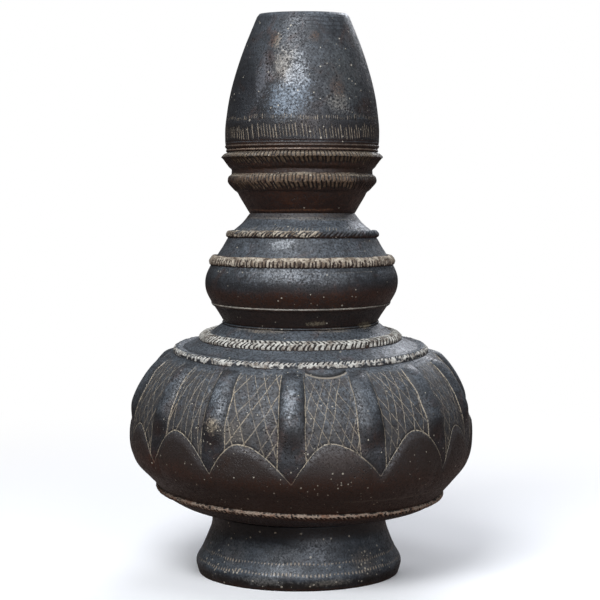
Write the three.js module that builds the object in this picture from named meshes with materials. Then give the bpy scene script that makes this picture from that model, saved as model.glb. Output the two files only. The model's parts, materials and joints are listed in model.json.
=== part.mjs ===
// A tall earthenware water jar, smoked black and burnished, built up as a potter builds it:
// a foot ring, a belly, a bulb, a funnel-shaped upper neck and a tapering mouth, each thrown
// by itself and luted to the next with slip, and strips of clay pressed on over the wall.
// Millimetres, +Z up, origin at the centre of the foot on the surface that the jar stands on.
// The front of the jar faces -Y, and bearings run round it from there towards +X.
import * as THREE from "three";

// Clay and joints
const slipGap = 0.3; // what the dried slip takes up between two luted pieces
const keyWidth = 2.4; // bevelled key on a section's rim, which sits in a V groove above it
const keyHeight = 1.4;
const bellyWall = 6;
const neckWall = 5; // bulb and upper neck
const mouthWall = 4.2;
const footWall = 6.6;

// Foot ring: radii of its outside from the bottom up, each with its rise from the one below
const footStandRadius = 61.6;
const footHemRise = 5.6;
const footHemRadius = 63.7;
const footFlareRise = 7.6;
const footFlareRadius = 60.2;
const footWaistRise = 16.6;
const footWaistRadius = 53.9;
const footTopRise = 7.8;
const footTopRadius = 54.3;

// Belly: the same, from the foot joint up
const baseDrop = 5; // the round bottom hangs this far below the foot joint
const undersideRise = 5.6;
const undersideRadius = 75.2;
const turnRise = 6.4; // up to the lowest strip, where the wall turns up
const lowerStripRadius = 86.2;
const lowerStripRise = 3.2;
const lowerStripFlare = 1.4; // how much wider the wall is at its upper edge
const lowerSwellRise = 17.8;
const lowerSwellRadius = 101.4;
const bellyRadiusRise = 19.6;
const bellyRadius = 103.9;
const upperSwellRise = 21.1;
const upperSwellRadius = 99;
const shoulderRise = 16.1;
const shoulderRadius = 88.4;
const shoulderStripGap = 8.4; // from there up to the strip
const shoulderStripRadius = 78.2;
const shoulderStripRise = 3.4;
const shoulderStripDraw = 7.7; // how much narrower the wall is at its upper edge
const terraceStripGap = 4.2;
const terraceStripRadius = 61.8;
const terraceStripRise = 4;
const terraceStripDraw = 7;
const neckRise = 6.2;
const neckJointRadius = 46.3;

// Belly relief, pushed out from inside with a finger
const ribCount = 14;
const ribBearing = -3; // degrees, the rib nearest the front
const ribHalfWidth = 4.8; // degrees
const ribProud = 2.2;
const ribDrop = 3.2; // from the shoulder strip down to a rib's upper end
const ribLength = 36;
const ribFade = 9; // the height in which its lower end rises from the wall
const ribTopFade = 4.5;
const lobeProud = 1.7;
const lobeGap = 4.8; // from the lowest strip up to the lobes
const lobeRise = 14; // the height in which a lobe swells from the wall
const lobeEdge = 6; // the height in which it falls away under its arch
const lobeFlatness = 4; // power of the curve across a lobe
const archLift = 6.4; // from the widest place up to the top of the scalloped arch above a lobe
const archDrop = 18; // from its top to the points between the arches
const archRoundness = 1.8; // power of the curve from its top to the points

// Bulb: radii of its outside from the neck joint up, each with its rise from the one below
const bulbCordonGap = 10.2;
const bulbCordonRadius = 53.1;
const bulbCordonRise = 2;
const bulbCordonFlare = 1.4;
const bulbRadiusRise = 10.3;
const bulbRadius = 59;
const bulbUpperRise = 8.8;
const bulbUpperRadius = 57.4;
const bulbStripGap = 3.5;
const bulbStripRadius = 55.6;
const bulbStripRise = 5.4;
const bulbStripDraw = 3.4;
const collarFootRise = 7;
const collarFootRadius = 47.7;
const collarStripGap = 4;
const collarStripRadius = 45.5;
const collarStripRise = 3.6;
const collarStripDraw = 2.6;
const throatRise = 4.7;
const throatRadius = 37.4;
const waistRise = 6.5;
const waistRadius = 32.2;

// Upper neck: the same, from the waist joint up
const lowerFlangeGap = 11.3;
const lowerFlangeRadius = 39.1;
const lowerFlangeRise = 12.3;
const lowerFlangeFlare = 4.3;
const upperFlangeGap = 1.8;
const upperFlangeRadius = 43.1;
const upperFlangeRise = 11.4;
const upperFlangeFlare = 2.8;
const neckCordonGap = 0.2;
const neckCordonRise = 1.5;
const neckCordonSpacing = 0.8; // between the two cordons
const mouthJointGap = 1.8;
const neckTopFlare = 1.2; // how much wider the wall is at the mouth joint than at the flange

// Mouth: the same, from its joint up
const mouthRadiusRise = 3;
const mouthFlare = 0.5; // how much wider it is there than at the joint
const mouthSwellRise = 25;
const mouthSwellRadius = 44.2;
const mouthTaperRise = 24.2;
const mouthTaperRadius = 37.1;
const rimRise = 25.2;
const rimRadius = 27.7;
const rimRounding = 1.8; // outside
const rimInnerRounding = 1;

// How far each strip stands off the wall, how wide its bevels are and how thick its edges
const stripProud = 2;
const stripBevel = 1.4;
const shoulderStripProud = 1.9;
const shoulderStripBevel = 2.6;
const lowerStripProud = 1.5;
const lowerFlangeProud = 3.3;
const lowerFlangeLip = 3.6; // from its crest up to its upper edge
const upperFlangeProud = 4;
const upperFlangeLip = 1.9;
const cordonProud = 1;
const stripEdge = 0.6;
const cordonEdge = 0.3;
const lutingCoil = 1.8; // how far a coil pressed into a corner reaches along each side

// Facets
const roundSteps = 36;
const bellySteps = 84;
const baseSteps = 3; // from the middle of the round bottom out to the foot ring
const stepHeight = 8.5;

const neckBore = neckJointRadius - neckWall;
const mouthJointRadius = upperFlangeRadius + upperFlangeFlare + neckTopFlare;
const mouthRadius = mouthJointRadius + mouthFlare;

// Heights above the surface that the jar stands on
const footFlareHeight = footHemRise + footFlareRise;
const footWaistHeight = footFlareHeight + footWaistRise;
const footJoint = footWaistHeight + footTopRise;

const bellyFoot = footJoint + slipGap;
const undersideHeight = bellyFoot + undersideRise;
const lowerStripHeight = undersideHeight + turnRise;
const lowerSwellHeight = lowerStripHeight + lowerStripRise + lowerSwellRise;
const bellyRadiusHeight = lowerSwellHeight + bellyRadiusRise;
const upperSwellHeight = bellyRadiusHeight + upperSwellRise;
const shoulderHeight = upperSwellHeight + shoulderRise;
const shoulderStripHeight = shoulderHeight + shoulderStripGap;
const terraceStripHeight = shoulderStripHeight + shoulderStripRise + terraceStripGap;
const neckJoint = terraceStripHeight + terraceStripRise + neckRise;
const ribHigh = shoulderStripHeight - ribDrop;
const ribLow = ribHigh - ribLength;
const lobeLow = lowerStripHeight + lowerStripRise + lobeGap;
const archHigh = bellyRadiusHeight + archLift;

const bulbFoot = neckJoint + slipGap;
const bulbCordonHeight = bulbFoot + bulbCordonGap;
const bulbRadiusHeight = bulbCordonHeight + bulbCordonRise + bulbRadiusRise;
const bulbUpperHeight = bulbRadiusHeight + bulbUpperRise;
const bulbStripHeight = bulbUpperHeight + bulbStripGap;
const collarFootHeight = bulbStripHeight + bulbStripRise + collarFootRise;
const collarStripHeight = collarFootHeight + collarStripGap;
const throatHeight = collarStripHeight + collarStripRise + throatRise;
const waistJoint = throatHeight + waistRise;

const upperNeckFoot = waistJoint + slipGap;
const lowerFlangeHeight = upperNeckFoot + lowerFlangeGap;
const upperFlangeHeight = lowerFlangeHeight + lowerFlangeRise + upperFlangeGap;
const lowerCordonHeight = upperFlangeHeight + upperFlangeRise + neckCordonGap;
const upperCordonHeight = lowerCordonHeight + neckCordonRise + neckCordonSpacing;
const mouthJoint = upperCordonHeight + neckCordonRise + mouthJointGap;

const mouthFoot = mouthJoint + slipGap;
const mouthRadiusHeight = mouthFoot + mouthRadiusRise;
const mouthSwellHeight = mouthRadiusHeight + mouthSwellRise;
const mouthTaperHeight = mouthSwellHeight + mouthTaperRise;
const rimTop = mouthTaperHeight + rimRise;

// Colours of the smoked clay, of strips with their black surface worn off, and of raw luting clay
const smokedClay = { color: 0x2b2827, roughness: 0.42, metalness: 0 };
const wornClay = { color: 0x8b8271, roughness: 0.85, metalness: 0 };
const notchedClay = { color: 0x3a332e, roughness: 0.6, metalness: 0 };
const lutingClay = { color: 0x4a443c, roughness: 0.8, metalness: 0 };

// The wall's outer radius as a smooth function of height, through [height, radius] pairs.
function wallThrough(pairs) {
  const slope = pairs.map((pair, i) => {
    const before = pairs[Math.max(i - 1, 0)];
    const after = pairs[Math.min(i + 1, pairs.length - 1)];
    return (after[1] - before[1]) / (after[0] - before[0]);
  });
  return (height) => {
    let i = pairs.findIndex((pair) => height < pair[0]) - 1;
    if (i < 0) i = height < pairs[0][0] ? 0 : pairs.length - 2;
    const [low, lowRadius] = pairs[i];
    const [high, highRadius] = pairs[i + 1];
    const span = high - low;
    const t = Math.min(Math.max((height - low) / span, 0), 1);
    return (
      (2 * t ** 3 - 3 * t ** 2 + 1) * lowRadius +
      (t ** 3 - 2 * t ** 2 + t) * span * slope[i] +
      (3 * t ** 2 - 2 * t ** 3) * highRadius +
      (t ** 3 - t ** 2) * span * slope[i + 1]
    );
  };
}

// A point that lies `out` away from the wall, square to it, at a height of the wall.
function offWall(wallAt, height, out) {
  const probe = 0.2;
  const lean = (wallAt(height + probe) - wallAt(height - probe)) / (2 * probe);
  const length = Math.hypot(1, lean);
  return [wallAt(height) + out / length, height - (out * lean) / length];
}

// The wall's outline between two heights, straight across each land that a strip sits on.
function climb(wallAt, low, high, lands = []) {
  const stops = [low, high, ...lands.flat().map((corner) => corner[1])].sort((a, b) => a - b);
  const outline = [];
  for (let i = 0; i < stops.length - 1; i++) {
    const onLand = lands.some((land) => land[0][1] === stops[i]);
    const count = onLand ? 1 : Math.ceil((stops[i + 1] - stops[i]) / stepHeight);
    for (let k = 0; k < count; k++) {
      const height = stops[i] + ((stops[i + 1] - stops[i]) * k) / count;
      outline.push([wallAt(height), height]);
    }
  }
  return [...outline, [wallAt(high), high]];
}

// The face of a lower section's rim, from outside to inside, with its bevelled key.
function keyedRim(height, outer, inner) {
  const middle = (outer + inner) / 2;
  return [
    [outer, height],
    [middle + keyWidth / 2, height],
    [middle, height + keyHeight],
    [middle - keyWidth / 2, height],
    [inner, height],
  ];
}

// The face of the section above it, from inside to outside, with the groove that the key fits.
function groovedFoot(height, outer, inner) {
  const middle = (outer + inner) / 2;
  const bottom = height + slipGap;
  return [
    [inner, bottom],
    [middle - keyWidth / 2 - slipGap, bottom],
    [middle, bottom + keyHeight + slipGap],
    [middle + keyWidth / 2 + slipGap, bottom],
    [outer, bottom],
  ];
}

// A body turned round the vertical axis from its outline, which runs up the outside and down the inside.
function turned(outline, steps = roundSteps, startBearing = 0) {
  const points = outline.map(([radius, height]) => new THREE.Vector2(radius, height));
  if (points[0].x > 0) points.push(points[0].clone());
  const start = THREE.MathUtils.degToRad(startBearing);
  return new THREE.LatheGeometry(points, steps, start).rotateX(Math.PI / 2);
}

const landWidth = ([low, high]) => Math.hypot(high[0] - low[0], high[1] - low[1]);

// Something pressed on over a land of the wall, through points that each lie a distance up the
// land and a distance off it.
function pressedOn([low, high], points) {
  const width = landWidth([low, high]);
  const across = (high[0] - low[0]) / width;
  const up = (high[1] - low[1]) / width;
  return turned(
    points.map(([along, out]) => [
      low[0] + across * along + up * (out + slipGap),
      low[1] + up * along - across * (out + slipGap),
    ]),
  );
}

// A strip with a flat crest between two bevels.
function strip(land, proud, bevel) {
  const width = landWidth(land);
  const crest = [
    [bevel, proud],
    [width - bevel, proud],
  ];
  return pressedOn(land, [[0, 0], [0, stripEdge], ...crest, [width, stripEdge], [width, 0]]);
}

// A flange or a cordon with a sharp crest, which lies one lip below its upper edge.
function ridge(land, proud, lip, edge) {
  const width = landWidth(land);
  return pressedOn(land, [[0, 0], [0, edge], [width - lip, proud], [width, edge], [width, 0]]);
}

function mesh(name, geometry, clay) {
  const made = new THREE.Mesh(geometry, new THREE.MeshStandardMaterial(clay));
  made.name = name;
  return made;
}

const footWallAt = wallThrough([
  [0, footStandRadius],
  [footHemRise, footHemRadius],
  [footFlareHeight, footFlareRadius],
  [footWaistHeight, footWaistRadius],
  [footJoint, footTopRadius],
]);
const footBore = footTopRadius - footWall;

// The round bottom that hangs inside the foot ring.
const baseAt = (radius) => bellyFoot - baseDrop * (1 - (radius / footBore) ** 2);

function footRing() {
  const inside = [
    [footBore, footWaistHeight],
    [footFlareRadius - footWall, footFlareHeight],
    [footStandRadius - footWall, 0],
  ];
  const outside = climb(footWallAt, 0, footJoint).slice(0, -1);
  return turned([...outside, ...keyedRim(footJoint, footTopRadius, footBore), ...inside]);
}

// The lands of the strips on the belly, each a lower and an upper corner
const lowerLand = [
  [lowerStripRadius, lowerStripHeight],
  [lowerStripRadius + lowerStripFlare, lowerStripHeight + lowerStripRise],
];
const shoulderLand = [
  [shoulderStripRadius, shoulderStripHeight],
  [shoulderStripRadius - shoulderStripDraw, shoulderStripHeight + shoulderStripRise],
];
const terraceLand = [
  [terraceStripRadius, terraceStripHeight],
  [terraceStripRadius - terraceStripDraw, terraceStripHeight + terraceStripRise],
];
const swapped = ([radius, height]) => [height, radius];

const bellyWallAt = wallThrough([
  [bellyFoot, footTopRadius],
  [undersideHeight, undersideRadius],
  ...lowerLand.map(swapped),
  [lowerSwellHeight, lowerSwellRadius],
  [bellyRadiusHeight, bellyRadius],
  [upperSwellHeight, upperSwellRadius],
  [shoulderHeight, shoulderRadius],
  ...shoulderLand.map(swapped),
  ...terraceLand.map(swapped),
  [neckJoint, neckJointRadius],
]);

// 0 below one height, 1 above another and a smooth ramp between.
const ramp = (from, to, height) => THREE.MathUtils.smoothstep(height, from, to);

// How far the belly is pushed out at a bearing in degrees and a height.
function relief(bearing, height) {
  const pitch = 360 / ribCount;
  const turn = THREE.MathUtils.euclideanModulo(bearing - ribBearing + pitch / 2, pitch);
  const fromRib = Math.abs(turn - pitch / 2);
  const across = Math.sqrt(Math.max(1 - (fromRib / ribHalfWidth) ** 2, 0));
  const along = ramp(ribLow, ribLow + ribFade, height) * (1 - ramp(ribHigh - ribTopFade, ribHigh, height));
  const fromPanel = 1 - fromRib / (pitch / 2);
  const arch = archHigh - archDrop * fromPanel ** archRoundness;
  const fullness = ramp(lobeLow, lobeLow + lobeRise, height) * (1 - ramp(arch - lobeEdge, arch, height));
  return ribProud * across * along + lobeProud * (1 - fromPanel ** lobeFlatness) * fullness;
}

function belly() {
  const base = Array.from({ length: baseSteps }, (_, i) => (footBore * i) / baseSteps);
  const inside = [shoulderStripHeight, shoulderHeight, upperSwellHeight, bellyRadiusHeight, lowerSwellHeight];
  const geometry = turned(
    [
      ...base.map((radius) => [radius, baseAt(radius)]),
      ...groovedFoot(footJoint, footTopRadius, footBore),
      ...climb(bellyWallAt, bellyFoot, neckJoint, [lowerLand, shoulderLand, terraceLand]).slice(1, -1),
      ...keyedRim(neckJoint, neckJointRadius, neckBore),
      [neckBore, neckJoint - bellyWall],
      [terraceLand[1][0], terraceStripHeight - bellyWall],
      ...inside.map((height) => offWall(bellyWallAt, height, -bellyWall)),
      [lowerStripRadius - bellyWall, lowerStripHeight + lowerStripRise],
      [footTopRadius, bellyFoot + bellyWall],
      [0, baseAt(0) + bellyWall],
    ],
    bellySteps,
    ribBearing,
  );
  const place = geometry.getAttribute("position");
  for (let i = 0; i < place.count; i++) {
    const radius = Math.hypot(place.getX(i), place.getY(i));
    if (radius <= footTopRadius) continue;
    const bearing = THREE.MathUtils.radToDeg(Math.atan2(place.getX(i), -place.getY(i)));
    const grown = 1 + relief(bearing, place.getZ(i)) / radius;
    place.setXY(i, place.getX(i) * grown, place.getY(i) * grown);
  }
  return geometry;
}

// The lands of the strips on the bulb
const bulbCordonLand = [
  [bulbCordonRadius, bulbCordonHeight],
  [bulbCordonRadius + bulbCordonFlare, bulbCordonHeight + bulbCordonRise],
];
const bulbLand = [
  [bulbStripRadius, bulbStripHeight],
  [bulbStripRadius - bulbStripDraw, bulbStripHeight + bulbStripRise],
];
const collarLand = [
  [collarStripRadius, collarStripHeight],
  [collarStripRadius - collarStripDraw, collarStripHeight + collarStripRise],
];

const bulbWallAt = wallThrough([
  [bulbFoot, neckJointRadius],
  ...bulbCordonLand.map(swapped),
  [bulbRadiusHeight, bulbRadius],
  [bulbUpperHeight, bulbUpperRadius],
  ...bulbLand.map(swapped),
  [collarFootHeight, collarFootRadius],
  ...collarLand.map(swapped),
  [throatHeight, throatRadius],
  [waistJoint, waistRadius],
]);

// A shell between two joints, with the groove at its foot, the key on its rim and its inside
// face one wall away from the outside at some heights.
function section(wallAt, low, high, wall, lands, insideHeights) {
  const bottom = low + slipGap;
  return turned([
    ...groovedFoot(low, wallAt(bottom), wallAt(bottom) - wall),
    ...climb(wallAt, bottom, high, lands).slice(1, -1),
    ...keyedRim(high, wallAt(high), wallAt(high) - wall),
    ...insideHeights.map((height) => offWall(wallAt, height, -wall)),
  ]);
}

const bulb = () =>
  section(bulbWallAt, neckJoint, waistJoint, neckWall, [bulbCordonLand, bulbLand, collarLand], [
    collarStripHeight + collarStripRise,
    collarFootHeight,
    bulbStripHeight,
    bulbRadiusHeight,
    bulbCordonHeight,
  ]);

// The lands of the strips on the upper neck. A cordon's land lies on the straight wall.
const lowerFlangeLand = [
  [lowerFlangeRadius, lowerFlangeHeight],
  [lowerFlangeRadius + lowerFlangeFlare, lowerFlangeHeight + lowerFlangeRise],
];
const upperFlangeLand = [
  [upperFlangeRadius, upperFlangeHeight],
  [upperFlangeRadius + upperFlangeFlare, upperFlangeHeight + upperFlangeRise],
];
const neckWallAt = wallThrough([
  [upperNeckFoot, waistRadius],
  ...lowerFlangeLand.map(swapped),
  ...upperFlangeLand.map(swapped),
  [mouthJoint, mouthJointRadius],
]);
const cordonLands = [lowerCordonHeight, upperCordonHeight].map((low) =>
  [low, low + neckCordonRise].map((height) => [neckWallAt(height), height]),
);

const upperNeck = () =>
  section(neckWallAt, waistJoint, mouthJoint, neckWall, [lowerFlangeLand, upperFlangeLand, ...cordonLands], [
    upperFlangeHeight,
    lowerFlangeHeight,
  ]);

const mouthWallAt = wallThrough([
  [mouthFoot, mouthJointRadius],
  [mouthRadiusHeight, mouthRadius],
  [mouthSwellHeight, mouthSwellRadius],
  [mouthTaperHeight, mouthTaperRadius],
  [rimTop - rimRounding, rimRadius],
]);

// The open mouth. Its rim is rounded outside and inside, with a narrow flat land on top.
function mouth() {
  const rimBore = rimRadius - mouthWall;
  const inside = [mouthTaperHeight, mouthSwellHeight, mouthRadiusHeight];
  return turned([
    ...groovedFoot(mouthJoint, mouthJointRadius, mouthJointRadius - neckWall),
    ...climb(mouthWallAt, mouthFoot, rimTop - rimRounding).slice(1),
    [rimRadius - rimRounding * (1 - Math.SQRT1_2), rimTop - rimRounding * (1 - Math.SQRT1_2)],
    [rimRadius - rimRounding, rimTop],
    [rimBore + rimInnerRounding, rimTop],
    [rimBore, rimTop - rimInnerRounding],
    ...inside.map((height) => offWall(mouthWallAt, height, -mouthWall)),
  ]);
}

// A coil pressed into the outer corner between the shoulder and the bulb.
function neckLuting() {
  const under = neckJoint - lutingCoil / 2;
  const over = bulbFoot + lutingCoil / 2;
  return turned([
    offWall(bellyWallAt, under, slipGap),
    offWall(bellyWallAt, under, slipGap + stripEdge),
    offWall(bulbWallAt, over, slipGap + stripEdge),
    offWall(bulbWallAt, over, slipGap),
    offWall(bulbWallAt, bulbFoot, slipGap),
  ]);
}

// A coil pressed into the inner corner between the foot ring and the round bottom.
function footLuting() {
  const top = footJoint - slipGap;
  const inner = footBore - lutingCoil;
  return turned([
    [inner, top - stripEdge],
    [footBore - slipGap - stripEdge, top - lutingCoil],
    [footBore - slipGap, top - lutingCoil],
    [footBore - slipGap, top],
    [inner, baseAt(inner) - slipGap],
  ]);
}

const cordon = (land) => ridge(land, cordonProud, landWidth(land) / 2, cordonEdge);

const jar = new THREE.Group();
jar.add(
  mesh("foot_ring", footRing(), smokedClay),
  mesh("foot_luting_coil", footLuting(), lutingClay),
  mesh("belly", belly(), smokedClay),
  mesh("lower_belly_strip", strip(lowerLand, lowerStripProud, stripBevel), wornClay),
  mesh("shoulder_strip", strip(shoulderLand, shoulderStripProud, shoulderStripBevel), wornClay),
  mesh("terrace_strip", strip(terraceLand, shoulderStripProud, shoulderStripBevel), wornClay),
  mesh("neck_luting_coil", neckLuting(), lutingClay),
  mesh("bulb", bulb(), smokedClay),
  mesh("bulb_cordon", cordon(bulbCordonLand), smokedClay),
  mesh("bulb_strip", strip(bulbLand, stripProud, stripBevel), wornClay),
  mesh("collar_strip", strip(collarLand, stripProud, stripBevel), wornClay),
  mesh("upper_neck", upperNeck(), smokedClay),
  mesh("lower_flange", ridge(lowerFlangeLand, lowerFlangeProud, lowerFlangeLip, stripEdge), notchedClay),
  mesh("upper_flange", ridge(upperFlangeLand, upperFlangeProud, upperFlangeLip, stripEdge), notchedClay),
  mesh("lower_neck_cordon", cordon(cordonLands[0]), smokedClay),
  mesh("upper_neck_cordon", cordon(cordonLands[1]), smokedClay),
  mesh("mouth", mouth(), smokedClay),
);

export default jar;
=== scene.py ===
# A tall water jar of smoked, burnished earthenware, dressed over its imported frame.
# Metres, +Z up, the front of the jar faces -Y, and bearings run from there towards +X.
import json
import math

import bpy
import numpy as np
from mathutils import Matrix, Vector

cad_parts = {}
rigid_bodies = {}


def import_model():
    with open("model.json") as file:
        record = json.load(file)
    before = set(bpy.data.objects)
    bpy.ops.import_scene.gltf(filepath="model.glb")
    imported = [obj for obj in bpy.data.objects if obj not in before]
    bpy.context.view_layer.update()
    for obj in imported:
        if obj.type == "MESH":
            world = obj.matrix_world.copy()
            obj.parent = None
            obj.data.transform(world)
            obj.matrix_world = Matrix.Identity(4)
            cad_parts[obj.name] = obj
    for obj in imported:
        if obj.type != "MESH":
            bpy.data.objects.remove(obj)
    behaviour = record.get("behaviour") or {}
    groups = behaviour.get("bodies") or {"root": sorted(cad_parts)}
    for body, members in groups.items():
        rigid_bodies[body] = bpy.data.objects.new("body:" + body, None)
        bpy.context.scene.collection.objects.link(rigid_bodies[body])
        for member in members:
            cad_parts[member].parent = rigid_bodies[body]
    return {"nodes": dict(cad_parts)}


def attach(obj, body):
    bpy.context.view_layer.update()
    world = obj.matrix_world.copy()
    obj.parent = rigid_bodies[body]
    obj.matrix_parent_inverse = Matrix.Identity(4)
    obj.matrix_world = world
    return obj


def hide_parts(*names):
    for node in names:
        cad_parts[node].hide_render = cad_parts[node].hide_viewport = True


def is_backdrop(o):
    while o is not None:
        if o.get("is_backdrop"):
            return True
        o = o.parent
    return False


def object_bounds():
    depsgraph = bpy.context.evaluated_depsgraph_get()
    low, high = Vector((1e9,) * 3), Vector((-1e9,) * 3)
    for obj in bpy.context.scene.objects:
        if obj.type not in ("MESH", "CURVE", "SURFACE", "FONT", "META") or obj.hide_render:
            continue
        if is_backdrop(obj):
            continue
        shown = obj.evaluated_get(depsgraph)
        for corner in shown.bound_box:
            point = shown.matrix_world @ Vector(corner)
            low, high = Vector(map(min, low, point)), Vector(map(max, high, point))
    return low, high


for item in list(bpy.data.objects):  # Blender's own cube, lamp and camera
    bpy.data.objects.remove(item)
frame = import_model()
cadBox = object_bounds()
mm = 0.001
print("frame loaded,", len(frame["nodes"]), "nodes")


def linear(hexColour):  # sRGB hex to the linear colour that a node takes
    channels = [int(hexColour[i:i + 2], 16) / 255 for i in (1, 3, 5)]
    return [c / 12.92 if c <= 0.04045 else ((c + 0.055) / 1.055) ** 2.4 for c in channels] + [1]


# Adds a node with its settings, and with a value or another node's output for each input, in turn or
# by name. A shader node's kind is given without its prefix, and a Math node's operation stands for
# its kind. Gives back the node's first output.
def add(tree, kind, inputs=(), **settings):
    if kind.isupper():
        kind, settings["operation"] = "Math", kind
    node = tree.nodes.new(kind if kind.startswith(("Geometry", "NodeGroup")) else "ShaderNode" + kind)
    for name, value in settings.items():
        setattr(node, name, value)
    named = inputs if isinstance(inputs, dict) else dict(enumerate(inputs))
    inUse = [socket for socket in node.inputs if socket.enabled]
    for key, value in named.items():
        socket = node.inputs[key] if isinstance(key, str) else inUse[key]
        if isinstance(value, bpy.types.NodeSocket):
            tree.links.new(value, socket)
        elif value is not None:
            socket.default_value = value
    return next((socket for socket in node.outputs if socket.enabled), None)


# Outlines, read from the frame

# The edges of a turned solid, as pairs of rounded (radius, height) in micrometres with the bearing
# of each end, so that one half-plane's outline can be picked from them.
def edgesOf(node):
    mesh = frame["nodes"][node].data
    patchesAndPaintedLight = np.array([vertex.co for vertex in mesh.vertices])
    faces = np.array([face.vertices for face in mesh.polygons])
    radius = np.hypot(patchesAndPaintedLight[:, 0], patchesAndPaintedLight[:, 1])
    turn = np.degrees(np.arctan2(patchesAndPaintedLight[:, 0], -patchesAndPaintedLight[:, 1]))
    turn[radius < 1e-6] = np.nan  # on the axis, so in every half-plane
    keys = np.round(np.stack([radius, patchesAndPaintedLight[:, 2]], 1) * 1e6).astype(int)
    ends = np.concatenate([faces[:, [0, 1]], faces[:, [1, 2]], faces[:, [2, 0]]])
    return keys, turn, ends


# The closed outline of a turned solid at one bearing, up its outside and down its inside.
def outlineAt(edges, bearing):
    keys, turn, ends = edges
    away = np.abs((turn - bearing + 180) % 360 - 180)
    inPlane = np.isnan(turn) | (away < 0.05)
    links = {}
    for a, b in ends[inPlane[ends].all(1)]:
        first, second = tuple(keys[a]), tuple(keys[b])
        if first != second:
            links.setdefault(first, set()).add(second)
            links.setdefault(second, set()).add(first)
    onAxis = [key for key in links if key[0] == 0]
    start = min(onAxis or links, key=lambda key: (key[1], -key[0]))
    path = [start]
    while True:
        onward = [key for key in links[path[-1]] if key not in path[-2:]]
        if not onward or onward[0] == start:
            break
        path.append(onward[0] if len(path) > 1 else max(onward, key=lambda key: (key[0], key[1])))
    return np.array(path) * 1e-6


def wallOutline(node):
    edges = edgesOf(node)
    bearings = np.unique(np.round(edges[1][~np.isnan(edges[1])], 2))
    outlines = [outlineAt(edges, bearing) for bearing in bearings[:: max(len(bearings) // 72, 1)]]
    return np.min(outlines, axis=0)  # the bare wall, without what is pushed out of it


# A smooth curve through points, by the centripetal rule, in steps of one length.
def curveThrough(points, step):
    if len(points) < 3:
        count = max(int(np.linalg.norm(points[1] - points[0]) / step), 1)
        return [points[0] + (points[1] - points[0]) * i / count for i in range(count)]
    patchesAndPaintedLight = [2 * points[0] - points[1], *points, 2 * points[-1] - points[-2]]
    curve = []
    for a, b, c, d in zip(patchesAndPaintedLight, patchesAndPaintedLight[1:], patchesAndPaintedLight[2:], patchesAndPaintedLight[3:]):
        spans = [max(np.linalg.norm(q - p), 1e-9) ** 0.5 for p, q in ((a, b), (b, c), (c, d))]
        knots = np.cumsum([0] + spans)
        count = max(int(np.linalg.norm(c - b) / step), 1)
        for i in range(count):
            t = knots[1] + (knots[2] - knots[1]) * i / count
            lower = [p + (q - p) * (t - s) / (e - s) for p, q, s, e in
                     ((a, b, knots[0], knots[1]), (b, c, knots[1], knots[2]), (c, d, knots[2], knots[3]))]
            middle = [p + (q - p) * (t - s) / (e - s) for p, q, s, e in
                      ((lower[0], lower[1], knots[0], knots[2]), (lower[1], lower[2], knots[1], knots[3]))]
            curve.append(middle[0] + (middle[1] - middle[0]) * (t - knots[1]) / (knots[2] - knots[1]))
    return curve


# Rounds a closed or axis-to-axis outline: smooth between its sharp corners, eased at each of them.
# Gives the curve, and which of its points are ends of a corner.
def rounded(outline, cornerAngle=47, step=0.3 * mm, ease=0.35 * mm):
    closed = outline[0][0] > 0
    count = len(outline)
    corners = []
    for i in range(count):
        before, after = outline[i] - outline[i - 1], outline[(i + 1) % count] - outline[i]
        swing = math.degrees(abs(math.atan2(before[0] * after[1] - before[1] * after[0], before @ after)))
        if swing > cornerAngle or (not closed and i in (0, count - 1)):
            corners.append(i)
    corners = corners or [0]
    curve, sharp = [], []
    stops = corners + ([corners[0] + count] if closed else [])
    for start, end in zip(stops, stops[1:]):
        run = [outline[i % count] for i in range(start, end + 1)]
        stretch = curveThrough(run, step)
        marks = [True] + [False] * (len(stretch) - 1)
        if run[0][0] > 0:
            toward, back = run[1] - run[0], outline[start % count - 1] - run[0]
            curve.append(run[0] + back * min(ease / np.linalg.norm(back), 0.3))
            sharp.append(True)
            stretch[0] = run[0] + toward * min(ease / np.linalg.norm(toward), 0.3)
        curve.extend(stretch)
        sharp.extend(marks)
    if not closed:
        curve.append(outline[corners[-1]])
        sharp.append(True)
    return np.array(curve), np.array(sharp)


# Keeps the rows that a wall needs: a step for each stretch, and every corner.
def thinned(curve, sharp, stepAt):
    kept, last = [], None
    for i, spot in enumerate(curve):
        far = last is None or np.linalg.norm(spot - last) >= stepAt(i)
        if far or sharp[i]:
            kept.append(i)
            last = spot
    return kept


# How the potter's hand shows, in mm: the jar leans and wavers a little, and its lowest band runs
# askew
hand = {
    "leanHeights": [0, 40, 88, 160, 195, 275, 341],
    "leanShifts": [-1.5, -1.0, 0.3, -0.6, 0.6, 0.7, 1.7],
    "tiltHeights": [0, 50, 88, 135, 148, 170, 200, 212, 250, 341],
    "tiltSlopes": [0, 0.02, 0.05, 0.045, 0.025, 0.005, -0.02, -0.04, -0.03, 0],  # lower in front than behind
    "askewSlope": -0.03,
    "askewHeights": [37, 46, 56, 84],
    "waver": 0.28, "steady": 20,  # how far, and the height and radius from which it shows in full
    "waves": [(2, 31, 1, 0), (3, -47, 0.7, 1), (7, 19, 0.4, 0)],  # how many round, mm a radian, share, start
    "near": (-16, -8, 0, 8, 16),  # up and down, so that the lean is averaged and bends softly
}


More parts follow.
